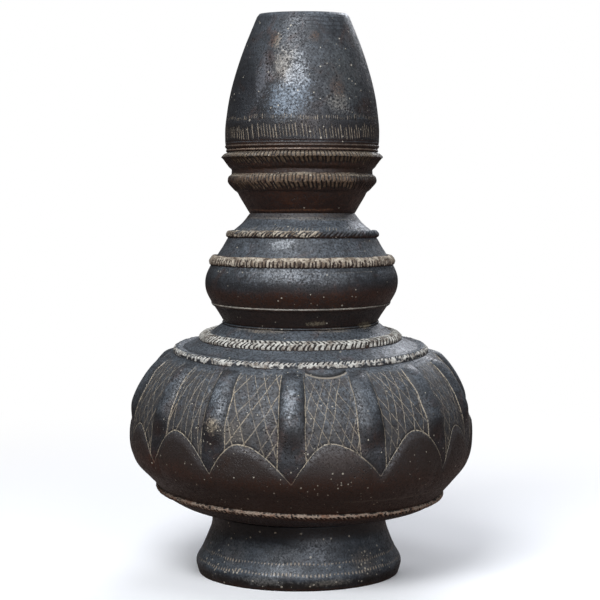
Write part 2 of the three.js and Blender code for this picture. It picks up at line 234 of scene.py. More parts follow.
def handled(patchesAndPaintedLight):
    high = patchesAndPaintedLight[:, 2] / mm
    shifts = [np.interp(high + near, hand["leanHeights"], hand["leanShifts"]) for near in hand["near"]]
    askew = np.interp(high, hand["askewHeights"], [0, 1, 1, 0]) * hand["askewSlope"]
    turn = np.arctan2(patchesAndPaintedLight[:, 0], -patchesAndPaintedLight[:, 1])
    waver = sum(share * np.sin(times * turn + high / rise + start)
                for times, rise, share, start in hand["waves"])
    radius = np.maximum(np.hypot(*patchesAndPaintedLight[:, :2].T), hand["steady"] * mm)
    grown = 1 + hand["waver"] * mm * waver * np.clip(high / hand["steady"], 0, 1) / radius
    moved = patchesAndPaintedLight.copy()
    moved[:, :2] *= grown[:, None]
    moved[:, 2] += askew * patchesAndPaintedLight[:, 0]
    moved[:, 2] += np.interp(high, hand["tiltHeights"], hand["tiltSlopes"]) * patchesAndPaintedLight[:, 1]
    moved[:, 0] += np.mean(shifts, axis=0) * mm
    return moved


# Where the ribs lie: at even bearings, the five in front moved to where the potter pushed them
ribs = {"count": 14, "first": -3, "moved": {-2: 1.2, -1: -0.8, 0: 0, 1: 0.5, 2: 2.1}}


# Turns round the jar from its back, counted so that each rib lies on a whole number of ribs' pitches.
def patternTurn(bearing):
    pitch = 360 / ribs["count"]
    numbers = np.arange(-ribs["count"], ribs["count"] + 1)
    nominal = ribs["first"] + pitch * numbers
    real = nominal + [ribs["moved"].get(int(number), 0) for number in numbers]
    return (np.interp(bearing, real, nominal) - ribs["first"]) / 360 + 0.5


# A body turned from an outline. Rows marked coarse have fewer columns, halved step by step.
def turned(name, outline, columns, coarse=None, across=None, closed=True):
    rows = len(outline)
    want = np.zeros(rows, int) if coarse is None else np.array(coarse, int)
    for _ in range(8):  # neighbours differ by one halving at most
        before = np.roll(want, 1) if closed else np.concatenate([want[:1], want[:-1]])
        after = np.roll(want, -1) if closed else np.concatenate([want[1:], want[-1:]])
        want = np.minimum(want, np.minimum(before, after) + 1)
    counts = [1 if outline[k][0] < 1e-7 else columns >> want[k] for k in range(rows)]
    firsts = np.concatenate([[0], np.cumsum(counts)])
    patchesAndPaintedLight, turns, extra, run = [], [], [], []
    length = np.concatenate([[0], np.cumsum(np.linalg.norm(np.diff(outline, axis=0), axis=1))])
    for k, (radius, height) in enumerate(outline):
        turn = np.arange(counts[k]) / counts[k]
        angle = (turn - 0.5) * 2 * math.pi
        level = np.full(counts[k], height)
        patchesAndPaintedLight.append(np.stack([radius * np.sin(angle), -radius * np.cos(angle), level], 1))
        turns.append(turn)
        extra.append(np.full(counts[k], -1.0 if across is None else across[k]))
        run.append(np.full(counts[k], length[k] / mm))
    patchesAndPaintedLight, turns, extra = np.concatenate(patchesAndPaintedLight), np.concatenate(turns), np.concatenate(extra)
    faces, maps = [], []
    for k in range(rows if closed else rows - 1):
        low, high = k, (k + 1) % rows
        n, m = counts[low], counts[high]
        near, far = length[low], length[low] + np.linalg.norm(outline[high] - outline[low])
        size = max(n, m)
        for i in range(min(n, m) if 1 not in (n, m) else size):
            if n == m:
                shapes = [[(low, i), (low, i + 1), (high, i + 1), (high, i)]]
            elif n == 1:
                shapes = [[(low, 0), (high, i + 1), (high, i)]]
            elif m == 1:
                shapes = [[(low, i), (low, i + 1), (high, 0)]]
            elif n > m:
                shapes = [[(low, 2 * i), (low, 2 * i + 1), (high, i)],
                          [(low, 2 * i + 1), (high, i + 1), (high, i)],
                          [(low, 2 * i + 1), (low, 2 * i + 2), (high, i + 1)]]
            else:
                shapes = [[(low, i), (high, 2 * i + 1), (high, 2 * i)],
                          [(low, i), (low, i + 1), (high, 2 * i + 1)],
                          [(low, i + 1), (high, 2 * i + 2), (high, 2 * i + 1)]]
            for shape in shapes:
                faces.append([int(firsts[row] + spot % counts[row]) for row, spot in shape])
                for row, spot in shape:
                    share = (i + 0.5) / size if counts[row] == 1 else spot / counts[row]
                    maps.append((share, near if row == low else far))
    mesh = bpy.data.meshes.new(name)
    mesh.from_pydata(patchesAndPaintedLight.tolist(), [], faces)
    bearing = (turns - 0.5) * 360
    for label, values in (("turn", turns), ("pattern", patternTurn(bearing)), ("high", patchesAndPaintedLight[:, 2] / mm),
                          ("along", np.concatenate(run)), ("across", extra), ("nick", np.zeros(len(patchesAndPaintedLight)))):
        mesh.attributes.new(label, "FLOAT", "POINT").data.foreach_set("value", values.astype(np.float32))
    layer = mesh.uv_layers.new(name="clay")
    maps = np.array(maps)
    maps[:, 0] = patternTurn((maps[:, 0] - 0.5) * 360)
    layer.data.foreach_set("uv", maps.astype(np.float32).ravel())
    mesh.vertices.foreach_set("co", handled(patchesAndPaintedLight).astype(np.float32).ravel())
    mesh.shade_smooth()
    mesh.update()
    piece = bpy.data.objects.new(name, mesh)
    bpy.context.scene.collection.objects.link(piece)
    return piece


# How finely a thrown section is made: mm from row to row where it shows and inside, halvings of its
# columns inside, mm inside the rim that still show, how wide in rims the belly is where it starts to
# show, and within how many mm of its end a point is drawn out
thrownRows = {"usual": 2.4, "inside": 6, "halvings": 3, "rimReach": 7, "baseShare": 1.16, "end": 0.1}


# A thrown section: fine where it shows, coarse inside and under the section that it stands on. Its
# lower or upper end is drawn out by the slip's thickness, so that no gap shows at the joint.
def thrown(node, columns, steps, drawnDown=0, drawnUp=0):
    outline = wallOutline(node)
    end = thrownRows["end"] * mm
    outline[outline[:, 1] < outline[:, 1].min() + end, 1] -= drawnDown * mm
    outline[outline[:, 1] > outline[:, 1].max() - end, 1] += drawnUp * mm
    outline, sharp = rounded(outline)
    top = int(np.argmax(outline[:, 1]))
    length = np.concatenate([[0], np.cumsum(np.linalg.norm(np.diff(outline, axis=0), axis=1))])
    closed = outline[0][0] > 1e-7
    bottom = 0 if closed else int(np.argmax(outline[:, 0] > outline[top][0] * thrownRows["baseShare"]))
    shows = (np.arange(len(outline)) >= bottom) & (length <= length[top] + thrownRows["rimReach"] * mm)

    def stepAt(i):
        if not shows[i]:
            return thrownRows["inside"] * mm
        level = outline[i][1] / mm
        return next((step for low, high, step in steps if low <= level <= high), thrownRows["usual"]) * mm

    kept = thinned(outline, sharp, stepAt)
    coarse = [0 if shows[i] else thrownRows["halvings"] for i in kept]
    return turned(node + "_clay", outline[kept], columns, coarse, closed=closed)


def eased(share):
    share = np.clip(share, 0, 1)
    return share * share * (3 - 2 * share)


# Clay pressed on over the wall, its back sunk a little into it. Its lower face can be hollow, and its
# edges can be feathered out into the wall over a share of its width. It keeps each point's share of
# the way across its front, from the lower edge to the upper one, and -1 on its back. Steps in mm.
def pressedOn(node, columns, rowStep=0.45, backStep=3, sunk=0.8, tucked=0.5, cornerAngle=75, swell=1.0,
              hollow=1.0, feather=(0, 0)):
    outline = wallOutline(node)
    sides = np.linalg.norm(np.roll(outline, -1, axis=0) - outline, axis=1)
    outline = np.roll(outline, -int(np.argmax(sides)) - 1, axis=0)  # its back, the longest side, comes last
    first, last = outline[0].copy(), outline[-1].copy()
    along = (last - first) / np.linalg.norm(last - first)
    off = np.array([along[1], -along[0]])
    outline = outline + np.outer((outline - first) @ off * (swell - 1), off)
    outline[0], outline[-1] = first - off * sunk * mm, last - off * sunk * mm
    curve, sharp = rounded(outline, cornerAngle)
    share = (curve - first) @ along / ((last - first) @ along)
    out = (curve - first) @ off
    front = out > -0.1 * mm
    rise = np.clip(share / share[np.argmax(out)], 0, 1) ** (hollow - 1)
    lift = eased(share / max(feather[0], 1e-6)) * eased((1 - share) / max(feather[1], 1e-6))
    curve = curve + np.outer(np.where(front, out * (rise * lift - 1) - tucked * mm * (1 - lift), 0), off)
    kept = thinned(curve, sharp, lambda i: (rowStep if front[i] else backStep) * mm)
    return turned(node + "_clay", curve[kept], columns, None, np.where(front, share, -1)[kept])


# A coil pressed into the corner between two sections, rounded and a little into both walls.
def coil(node, columns, swell=1.25):
    outline = wallOutline(node)
    middle = outline.mean(axis=0)
    curve, sharp = rounded(middle + (outline - middle) * swell, cornerAngle=100)
    return turned(node + "_clay", curve[thinned(curve, sharp, lambda i: 0.5 * mm)], columns)


# Geometry Nodes

def newTree(name, inputs):
    tree = bpy.data.node_groups.new(name, "GeometryNodeTree")
    tree.interface.new_socket("Geometry", in_out="INPUT", socket_type="NodeSocketGeometry")
    for label, value in inputs.items():
        tree.interface.new_socket(label, in_out="INPUT", socket_type="NodeSocketFloat").default_value = value
    tree.interface.new_socket("Material", in_out="INPUT", socket_type="NodeSocketMaterial")
    tree.interface.new_socket("Geometry", in_out="OUTPUT", socket_type="NodeSocketGeometry")
    return tree, tree.nodes.new("NodeGroupInput").outputs


# Moves the points along their normals, stores what shaped them, and ends the tree.
def closeTree(tree, given, distance, label, value):
    push = add(tree, "VectorMath", {"Vector": add(tree, "GeometryNodeInputNormal"), "Scale": distance},
               operation="SCALE")
    moved = add(tree, "GeometryNodeSetPosition", {"Geometry": given["Geometry"], "Offset": push})
    marked = add(tree, "GeometryNodeStoreNamedAttribute", {"Geometry": moved, "Name": label, "Value": value},
                 data_type="FLOAT", domain="POINT")
    whole = add(tree, "GeometryNodeRealizeInstances", [marked])
    dressed = add(tree, "GeometryNodeSetMaterial", {"Geometry": whole, "Material": given["Material"]})
    add(tree, "NodeGroupOutput", [dressed])
    return tree


# Puts trees on a piece, one after the other, and keeps their result as its plain mesh.
def shaped(piece, material, passes):
    for tree, values in passes:
        shaper = piece.modifiers.new(tree.name, "NODES")
        shaper.node_group = tree
        sockets = [item for item in tree.interface.items_tree if item.in_out == "INPUT"]
        identifiers = {item.name: item.identifier for item in sockets}
        for label, value in {**values, "Material": material}.items():
            shaper[identifiers[label]] = value
    depsgraph = bpy.context.evaluated_depsgraph_get()
    plain = bpy.data.meshes.new_from_object(piece.evaluated_get(depsgraph), depsgraph=depsgraph)
    piece.modifiers.clear()
    piece.data = plain
    plain.name = piece.name


# A row of impressions round a band, each pressed in along the surface's normal. The band is the
# attribute that says how far up a point lies, and From and To are the row's limits in it.
def impressionTree(name, band):
    tree, given = newTree(name, {
        "Count": 100, "Depth": 0.4 * mm, "Width": 0.5, "From": 0, "To": 1, "Fade": 0.1, "Slant": 0,
        "Waver": 0, "Jitter": 0.3, "Patchy": 0, "Seed": 1})
    turn, level, before = [add(tree, "GeometryNodeInputNamedAttribute", {"Name": label}, data_type="FLOAT")
                           for label in ("turn", band, "nick")]

    # The row wavers up and down round the jar, in 5 waves and in 13
    angle = add(tree, "MULTIPLY", [turn, 2 * math.pi])
    slow, quick = [add(tree, "SINE", [add(tree, "MULTIPLY_ADD", [angle, waves, given["Seed"]])])
                   for waves in (5, 13)]
    drift = add(tree, "ADD", [slow, quick])
    level = add(tree, "MULTIPLY_ADD", [drift, given["Waver"], level])

    # Which impression a point is in, with chances of its own (517.3 and 0.37 only keep them apart), and
    # where across it the point lies
    share = add(tree, "MapRange", [level, given["From"], given["To"], 0, 1])
    slide = add(tree, "MULTIPLY", [share, given["Slant"]])
    phase = add(tree, "MULTIPLY_ADD", [turn, given["Count"], slide])
    whole = add(tree, "FLOOR", [phase])
    cell = add(tree, "FLOORED_MODULO", [whole, given["Count"]])
    key = add(tree, "MULTIPLY_ADD", [given["Seed"], 517.3, cell])
    chance = add(tree, "TexWhiteNoise", [key], noise_dimensions="1D")
    otherKey = add(tree, "ADD", [key, 0.37])
    other = add(tree, "TexWhiteNoise", [otherKey], noise_dimensions="1D")
    local = add(tree, "SUBTRACT", [phase, whole])
    spread = add(tree, "MULTIPLY_ADD", [given["Jitter"], -0.5, 0.5])
    centre = add(tree, "MULTIPLY_ADD", [chance, given["Jitter"], spread])
    away = add(tree, "SUBTRACT", [local, centre])
    off = add(tree, "ABSOLUTE", [away])
    half = add(tree, "MULTIPLY", [given["Width"], 0.5])
    groove = add(tree, "MapRange", [off, 0, half, 1, 0], interpolation_type="SMOOTHSTEP")

    # How far up the band it runs, and how hard it was pressed
    start = add(tree, "SUBTRACT", [given["From"], given["Fade"]])
    low = add(tree, "MapRange", [level, start, given["From"], 0, 1], interpolation_type="SMOOTHSTEP")
    length = add(tree, "SUBTRACT", [given["To"], given["From"]])
    cutShort = add(tree, "MULTIPLY", [length, given["Jitter"]])
    cutShort = add(tree, "MULTIPLY", [cutShort, other])
    end = add(tree, "SUBTRACT", [given["To"], cutShort])
    beyond = add(tree, "ADD", [end, given["Fade"]])
    high = add(tree, "MapRange", [level, end, beyond, 1, 0], interpolation_type="SMOOTHSTEP")
    easing = add(tree, "MULTIPLY", [chance, given["Patchy"]])
    force = add(tree, "SUBTRACT", [1, easing])
    nick = groove
    for share in (low, high, force):
        nick = add(tree, "MULTIPLY", [nick, share])
    pressed = add(tree, "MULTIPLY", [nick, given["Depth"]])
    inward = add(tree, "MULTIPLY", [pressed, -1])
    most = add(tree, "MAXIMUM", [nick, before])
    return closeTree(tree, given, inward, "nick", most)


# Clay that crumbled and was pinched on with two fingers, so that no stretch of a strip is like the
# next. It stores where crumbs stand proud.
def crumbleTree():
    tree, given = newTree("crumbled clay", {
        "Crumb": 0.3 * mm, "Crumb Size": 2.4 * mm, "Pinch": 0.35 * mm, "Pinch Size": 13 * mm, "Seed": 1})
    across = add(tree, "GeometryNodeInputNamedAttribute", {"Name": "across"}, data_type="FLOAT")
    front = add(tree, "MapRange", [across, -0.3, 0.1, 0, 1])
    crumbs, total = None, None
    for size, depth in (("Crumb Size", "Crumb"), ("Pinch Size", "Pinch")):
        scale = add(tree, "DIVIDE", [1, given[size]])
        noise = add(tree, "TexNoise", {"W": given["Seed"], "Scale": scale, "Detail": 2, "Roughness": 0.55},
                    noise_dimensions="4D")
        crumbs = crumbs or noise
        swing = add(tree, "SUBTRACT", [noise, 0.5])
        reach = add(tree, "MULTIPLY", [given[depth], 4])
        push = add(tree, "MULTIPLY", [swing, reach])
        total = push if total is None else add(tree, "ADD", [total, push])
    return closeTree(tree, given, add(tree, "MULTIPLY", [total, front]), "crumb", crumbs)


# Each arch runs from one rib's foot to the next and peaks between them, and each panel above it has a
# net of two sets of lines. The four panels in front are as the potter drew them. Feet and peaks are
# counted by rib (0 in front, 1 to its right), their shifts in shares of a panel, heights in mm.
arches = {
    "footHigh": 76, "feetHigh": {-2: 77.5, -1: 78, 0: 74, 1: 77.5, 2: 76},
    "feetAside": {-2: -0.1, -1: -0.03, 0: 0, 1: 0.1, 2: 0.12},
    "peakHigh": 98.5, "peaksHigh": {-2: 101, -1: 97.5, 0: 98.5, 1: 102},
    "peaksAside": {-2: -0.14, -1: -0.16, 0: -0.04, 1: 0.12}, "roundness": 1.9,
}
net = {  # degrees from upright and mm apart, for the lines that run down to the right and to the left
    "usual": (27, 6.6, 22, 7.4), "panels": {-2: (6, 5.4, 15, 9.5), -1: (21, 7.6, 33, 9.5),
                                            0: (31, 6.3, 17, 6.2), 1: (29, 6.6, 9, 6.2)},
    "widest": 104,
}
# A thumb's flap of clay over a panel: middle and half width in panels, height and rise in mm
ledge = {"middle": 0.52, "half": 0.34, "high": 132.8, "rise": 2.4}


def markBelly(piece):
    mesh = piece.data
    values = {}
    for label in ("pattern", "high", "along"):
        values[label] = np.zeros(len(mesh.vertices), np.float32)
        mesh.attributes[label].data.foreach_get("value", values[label])
    count = ribs["count"]
    turn = values["pattern"] * count - count / 2  # 0 on the front rib
    over, lines = np.zeros(len(turn)), np.zeros((2, len(turn)))
    aside = (turn - ledge["middle"]) / ledge["half"]
    above = np.where(np.abs(aside) < 1, values["high"] - ledge["high"] - ledge["rise"] * aside ** 2, -99)
    for number in range(-count // 2, count // 2 + 1):
        feet = [side + arches["feetAside"].get(side, 0) for side in (number, number + 1)]
        feetHigh = [arches["feetHigh"].get(side, arches["footHigh"]) for side in (number, number + 1)]
        peak = number + 0.5 + arches["peaksAside"].get(number, 0.05 * math.sin(5 * number))
        peakHigh = arches["peaksHigh"].get(number, arches["peakHigh"])
        here = (turn >= feet[0]) & (turn < feet[1])
        side = turn[here] > peak
        share = np.abs((turn[here] - peak) / np.where(side, feet[1] - peak, peak - feet[0]))
        drop = peakHigh - np.where(side, feetHigh[1], feetHigh[0])
        over[here] = values["high"][here] - (peakHigh - drop * share ** arches["roundness"])
        here = np.floor(turn) == number
        right = (turn[here] - number - 0.5) * 2 * math.pi * net["widest"] / count
        angles = net["panels"].get(number, net["usual"])
        for k, (angle, gap) in enumerate(((angles[0], angles[1]), (-angles[2], angles[3]))):
            lean = right + values["along"][here] * math.tan(math.radians(angle))
            lines[k][here] = lean / gap + 0.37 * number
    for label, value in (("over", over), ("ledge", above), ("netRight", lines[0]), ("netLeft", lines[1])):
        mesh.attributes.new(label, "FLOAT", "POINT").data.foreach_set("value", value.astype(np.float32))


# The belly's relief: ribs pushed out with a finger, and a lobe under each scalloped arch.
def reliefTree():
    tree, given = newTree("belly relief", {
        "Rib Count": 14, "Rib Proud": 2 * mm, "Rib Half": 0.17, "Rib Fullness": 1, "Rib Low": 96,
        "Rib Fade": 9, "Rib High": 132, "Rib Top Fade": 4, "Valley": 0.3 * mm, "Lobe Proud": 1.3 * mm,
        "Lobe Low": 58, "Lobe High": 78, "Arch Edge": 3})
    pattern, high, over = [add(tree, "GeometryNodeInputNamedAttribute", {"Name": label}, data_type="FLOAT")
                           for label in ("pattern", "high", "over")]
    across = add(tree, "MULTIPLY_ADD", [pattern, given["Rib Count"], 0.5])
    across = add(tree, "FRACT", [across])
    away = add(tree, "SUBTRACT", [across, 0.5])
    away = add(tree, "ABSOLUTE", [away])  # 0 on a rib, 0.5 between two

    share = add(tree, "DIVIDE", [away, given["Rib Half"]])
    square = add(tree, "MULTIPLY", [share, share])
    left = add(tree, "SUBTRACT", [1, square], use_clamp=True)
    crest = add(tree, "POWER", [left, given["Rib Fullness"]])
    lowEnd = add(tree, "ADD", [given["Rib Low"], given["Rib Fade"]])
    rising = add(tree, "MapRange", [high, given["Rib Low"], lowEnd, 0, 1], interpolation_type="SMOOTHSTEP")
    highEnd = add(tree, "SUBTRACT", [given["Rib High"], given["Rib Top Fade"]])
    falling = add(tree, "MapRange", [high, highEnd, given["Rib High"], 1, 0],
                  interpolation_type="SMOOTHSTEP")
    along = add(tree, "MULTIPLY", [rising, falling])
    rib = add(tree, "MULTIPLY", [crest, along])
    valley = add(tree, "MapRange", [share, 1.0, 1.35, 1, 0], interpolation_type="SMOOTHSTEP")
    notOn = add(tree, "MapRange", [share, 0.8, 1.0, 0, 1], interpolation_type="SMOOTHSTEP")
    for part in (notOn, along):
        valley = add(tree, "MULTIPLY", [valley, part])

    fromPanel = add(tree, "MULTIPLY_ADD", [away, -2, 1])
    under = add(tree, "MULTIPLY", [over, -1])
    step = add(tree, "MapRange", [under, 0, given["Arch Edge"], 0, 1], interpolation_type="SMOOTHSTEP")
    fullness = add(tree, "MapRange", [high, given["Lobe Low"], given["Lobe High"], 0, 1],
                   interpolation_type="SMOOTHSTEP")
    edge = add(tree, "POWER", [fromPanel, 4])
    dome = add(tree, "SUBTRACT", [1, edge])
    lobe = step
    for part in (fullness, dome):
        lobe = add(tree, "MULTIPLY", [lobe, part])

    out = add(tree, "MULTIPLY", [rib, given["Rib Proud"]])
    out = add(tree, "MULTIPLY_ADD", [lobe, given["Lobe Proud"], out])
    sunk = add(tree, "MULTIPLY", [valley, given["Valley"]])
    out = add(tree, "SUBTRACT", [out, sunk])
    return closeTree(tree, given, out, "rib", rib)


# Materials

# Low-fired clay, smoked black in the kiln and burnished with a pebble before that. Faces turned up are
# slate blue, the smoke's bloom with a painted sheen of the light above; faces turned down are brown,
# the clay under the soot with a painted warm reflection from below.
smoked = {
    "slateAndSheen": "#484d52", "soot": "#232427", "earthAndWarmReflection": "#27140a", "rust": "#4a2e1d", "rustShare": 0.5,
    "blotch": 0.35, "flecks": 0.6,
    # patches: stains, slip and soot, and also painted highlights and painted shade
    "patchesAndPaintedLight": [],  # bearing, radius and height of the middle, half width and half height, colour, strength
    # lines round the jar, a few of them painted highlight or painted shadow
    "bandsAndPaintedLight": [],  # height, half height, colour, strength, middle bearing, half of the bearings
    "cut": "#100d0c", "cutShare": 0,
    "worn": "#b9ad92", "wornShare": 0, "wornBearing": 0, "wornHalf": 180, "wornFrom": 0, "wornTo": 1,
    "stain": "#54412f", "stainFrom": 0.45,
    "pits": 0.5, "specks": 0.35, "speckSize": 0.62 * mm, "speck": "#b4ae9f",
    "dust": 0.04, "dustSize": 0.52 * mm,
    "dusty": [],  # bearing, radius and height of the middle, half width and half height, share dusted
    "roughness": 0.4, "gritty": 0.42, "grain": 0.14 * mm, "streakHigh": 0.08 * mm,
    "fleck": "#0f0d0e", "fleckDeep": 0.1 * mm, "pit": "#0f0d0d", "pitDeep": 0.25 * mm,
}


# How squarely the wall faces a bearing: 1 at it, 0 a quarter turn away, -1 behind.
def towards(tree, flat, bearing):
    at = math.radians(bearing)
    facing = add(tree, "VectorMath", [flat, (math.sin(at), -math.cos(at), 0)], operation="DOT_PRODUCT")
    return facing.node.outputs["Value"]


# How far a point lies in a patch: 1 in its middle, 0 beyond its ragged edge.
def patchAt(tree, place, ragged, bearing, radius, height, wide, tall):
    at = math.radians(bearing)
    middle = (radius * mm * math.sin(at), -radius * mm * math.cos(at), height * mm)
    offset = add(tree, "VectorMath", [place["Object"], middle], operation="SUBTRACT")
    share = add(tree, "VectorMath", [offset, (1 / (wide * mm), 1 / (wide * mm), 1 / (tall * mm))],
                operation="MULTIPLY")
    away = add(tree, "VectorMath", [share], operation="LENGTH").node.outputs["Value"]
    away = add(tree, "MULTIPLY_ADD", [ragged, -1.6, away])
    return add(tree, "MapRange", [away, -0.5, 0.5, 1, 0], interpolation_type="SMOOTHSTEP")


# Noise in the clay, from the largest to the finest: its size in mm, detail, roughness and distortion
noises = {
    "mottle": (24, 5, 0.62, 0), "patches": (15, 6, 0.7, 0.6), "blotch": (6, 4, 0.6, 0),
    "grain": (1.3, 4, 0.65, 0), "flecks": (1.15, 3, 0.65, 0),
}
# In mm: the strokes of wheel and pebble, soiled patches, and cells that hold one pit or speck each
strokes = {"along": 30, "across": 2.2}
cells = {"soil": 4.5, "pit": 2.4, "speck": 6, "dust": 1.9}


def clay(name, look, marks=None):
    material = bpy.data.materials.new(name)
    material.use_nodes = True
    tree = material.node_tree
    tree.nodes.clear()
    place = add(tree, "TexCoord").node.outputs
    facing = add(tree, "SeparateXYZ", [place["Normal"]]).node.outputs["Z"]
    attributes = {}
    for label in ("nick", "across", "high", "rib", "crumb"):
        attributes[label] = add(tree, "Attribute", attribute_name=label).node.outputs["Fac"]

    mottle, patches, blotch, grain, flecks = [
        add(tree, "TexNoise", {"Vector": place["Object"], "Scale": 1 / (size * mm), "Detail": detail,
                               "Roughness": roughness, "Distortion": distortion})
        for size, detail, roughness, distortion in noises.values()]
    along, across = 1 / (strokes["along"] * mm), 1 / (strokes["across"] * mm)
    drawn = add(tree, "VectorMath", [place["Object"], (along, along, across)], operation="MULTIPLY")
    streak = add(tree, "TexNoise", {"Vector": drawn, "Scale": 1, "Detail": 5, "Roughness": 0.6})

    # Slate and painted sheen above, soot at the sides, brown and painted warm reflection below, rust in
    # patches
    up = add(tree, "MULTIPLY_ADD", [mottle, 0.9, facing])
    lower = add(tree, "MapRange", [up, 0, 0.55, 0, 1], interpolation_type="SMOOTHSTEP")
    upper = add(tree, "MapRange", [up, 0.45, 1.15, 0, 1], interpolation_type="SMOOTHSTEP")
    colour = add(tree, "Mix", [lower, linear(look["earthAndWarmReflection"]), linear(look["soot"])], data_type="RGBA")
    colour = add(tree, "Mix", [upper, colour, linear(look["slateAndSheen"])], data_type="RGBA")
    rusty = add(tree, "MapRange", [patches, 0.54, 0.72, 0, look["rustShare"]])
    colour = add(tree, "Mix", [rusty, colour, linear(look["rust"])], data_type="RGBA")
    shades = ((streak, 0.3, 0.7, 0.78, 1.25), (blotch, 0.3, 0.7, 1 - look["blotch"], 1 + look["blotch"]),
              (grain, 0.36, 0.64, 1 - look["gritty"], 1 + 1.3 * look["gritty"]))
    for pattern, *span in shades:
        shade = add(tree, "MapRange", [pattern, *span])
        colour = add(tree, "VectorMath", {"Vector": colour, "Scale": shade}, operation="SCALE")
    roughness = add(tree, "MapRange", [blotch, 0.3, 0.7, look["roughness"] + 0.1, look["roughness"] - 0.04])
    dull = add(tree, "MapRange", [grain, 0.36, 0.6, 0.16, -0.08])
    roughness = add(tree, "ADD", [roughness, dull])

    # Patches of painted highlight and painted shade, and daubs of slip, rust and soot
    broken = add(tree, "MapRange", [grain, 0.36, 0.64, 0.15, 1])
    ragged = add(tree, "MULTIPLY_ADD", [grain, 1.2, blotch])
    ragged = add(tree, "SUBTRACT", [ragged, 0.6])
    for *patch, hexColour, strength in look["patchesAndPaintedLight"]:
        spot = patchAt(tree, place, ragged, *patch)
        for share in (strength, broken):
            spot = add(tree, "MULTIPLY", [spot, share])
        colour = add(tree, "Mix", [spot, colour, linear(hexColour)], data_type="RGBA")

    # Lines round the jar that the wheel, a tool or slip left, and a few painted highlight and shadow lines
    flat = add(tree, "VectorMath", [place["Object"], (1, 1, 0)], operation="MULTIPLY")
    flat = add(tree, "VectorMath", [flat], operation="NORMALIZE")
    wander = add(tree, "MULTIPLY_ADD", [mottle, 3, attributes["high"]])
    for height, half, hexColour, strength, bearing, reach in look["bandsAndPaintedLight"]:
        off = add(tree, "SUBTRACT", [wander, height + 1.5])
        off = add(tree, "ABSOLUTE", [off])
        line = add(tree, "MapRange", [off, half * 0.4, half, strength, 0])
        line = add(tree, "MULTIPLY", [line, broken])
        if reach < 180:
            edge = math.cos(math.radians(reach))
            near = add(tree, "MapRange", [towards(tree, flat, bearing), edge - 0.02, edge + 0.05])
            line = add(tree, "MULTIPLY", [line, near])
        colour = add(tree, "Mix", [line, colour, linear(hexColour)], data_type="RGBA")

    # Impressions hold soot or dust
    if look["cutShare"]:
        cut = add(tree, "MapRange", [attributes["nick"], 0.15, 0.6, 0, look["cutShare"]])
        colour = add(tree, "Mix", [cut, colour, linear(look["cut"])], data_type="RGBA")

    # Where handling wore the soot off what stands proud, down to the pale clay
    if look["wornShare"]:
        toward = towards(tree, flat, look["wornBearing"])
        ragged = add(tree, "MULTIPLY_ADD", [patches, 0.5, toward])  # for its dust too
        limit = 0.25 + math.cos(math.radians(look["wornHalf"]))
        bared = add(tree, "MapRange", [ragged, limit - 0.06, limit + 0.02, 0, look["wornShare"]])
        crust = add(tree, "MapRange", [attributes["crumb"], 0.37, 0.45, 0, 1])
        proud = add(tree, "MapRange", [attributes["nick"], 0.12, 0.4, 1, 0])
        uneven = add(tree, "SUBTRACT", [attributes["crumb"], 0.5])
        uneven = add(tree, "MULTIPLY_ADD", [uneven, 0.9, attributes["across"]])
        low = add(tree, "MapRange", [uneven, look["wornFrom"] - 0.04, look["wornFrom"] + 0.04])
        high = add(tree, "MapRange", [uneven, look["wornTo"] - 0.04, look["wornTo"] + 0.04, 1, 0])
        for share in (crust, proud, low, high):
            bared = add(tree, "MULTIPLY", [bared, share])
        soiled = add(tree, "TexNoise", {"Vector": place["Object"], "Scale": 1 / (cells["soil"] * mm),
                                        "Detail": 4, "Roughness": 0.65})
        soiled = add(tree, "MapRange", [soiled, look["stainFrom"], look["stainFrom"] + 0.2, 0, 0.8])
        pale = add(tree, "Mix", [soiled, linear(look["worn"]), linear(look["stain"])], data_type="RGBA")
        dusty = add(tree, "MapRange", [grain, 0.3, 0.7, 0.68, 1.22])
        pale = add(tree, "VectorMath", {"Vector": pale, "Scale": dusty}, operation="SCALE")
        colour = add(tree, "Mix", [bared, colour, pale], data_type="RGBA")
        roughness = add(tree, "MULTIPLY_ADD", [bared, 0.4, roughness])

    # Flecks where the burnish broke, which are dull and dark
    crowded = add(tree, "MapRange", [mottle, 0.35, 0.6, 0.35, 1])
    fleck = add(tree, "MapRange", [flecks, 0.53, 0.61, 0, look["flecks"]])
    fleck = add(tree, "MULTIPLY", [fleck, crowded])
    colour = add(tree, "Mix", [fleck, colour, linear(look["fleck"])], data_type="RGBA")
    roughness = add(tree, "MULTIPLY_ADD", [fleck, 0.4, roughness])

    height = add(tree, "MULTIPLY", [grain, look["grain"]])
    height = add(tree, "MULTIPLY_ADD", [streak, look["streakHigh"], height])
    height = add(tree, "MULTIPLY_ADD", [fleck, -look["fleckDeep"], height])
    if marks:
        colour, height, roughness = marks(tree, place, attributes, mottle, grain, colour, height, roughness)

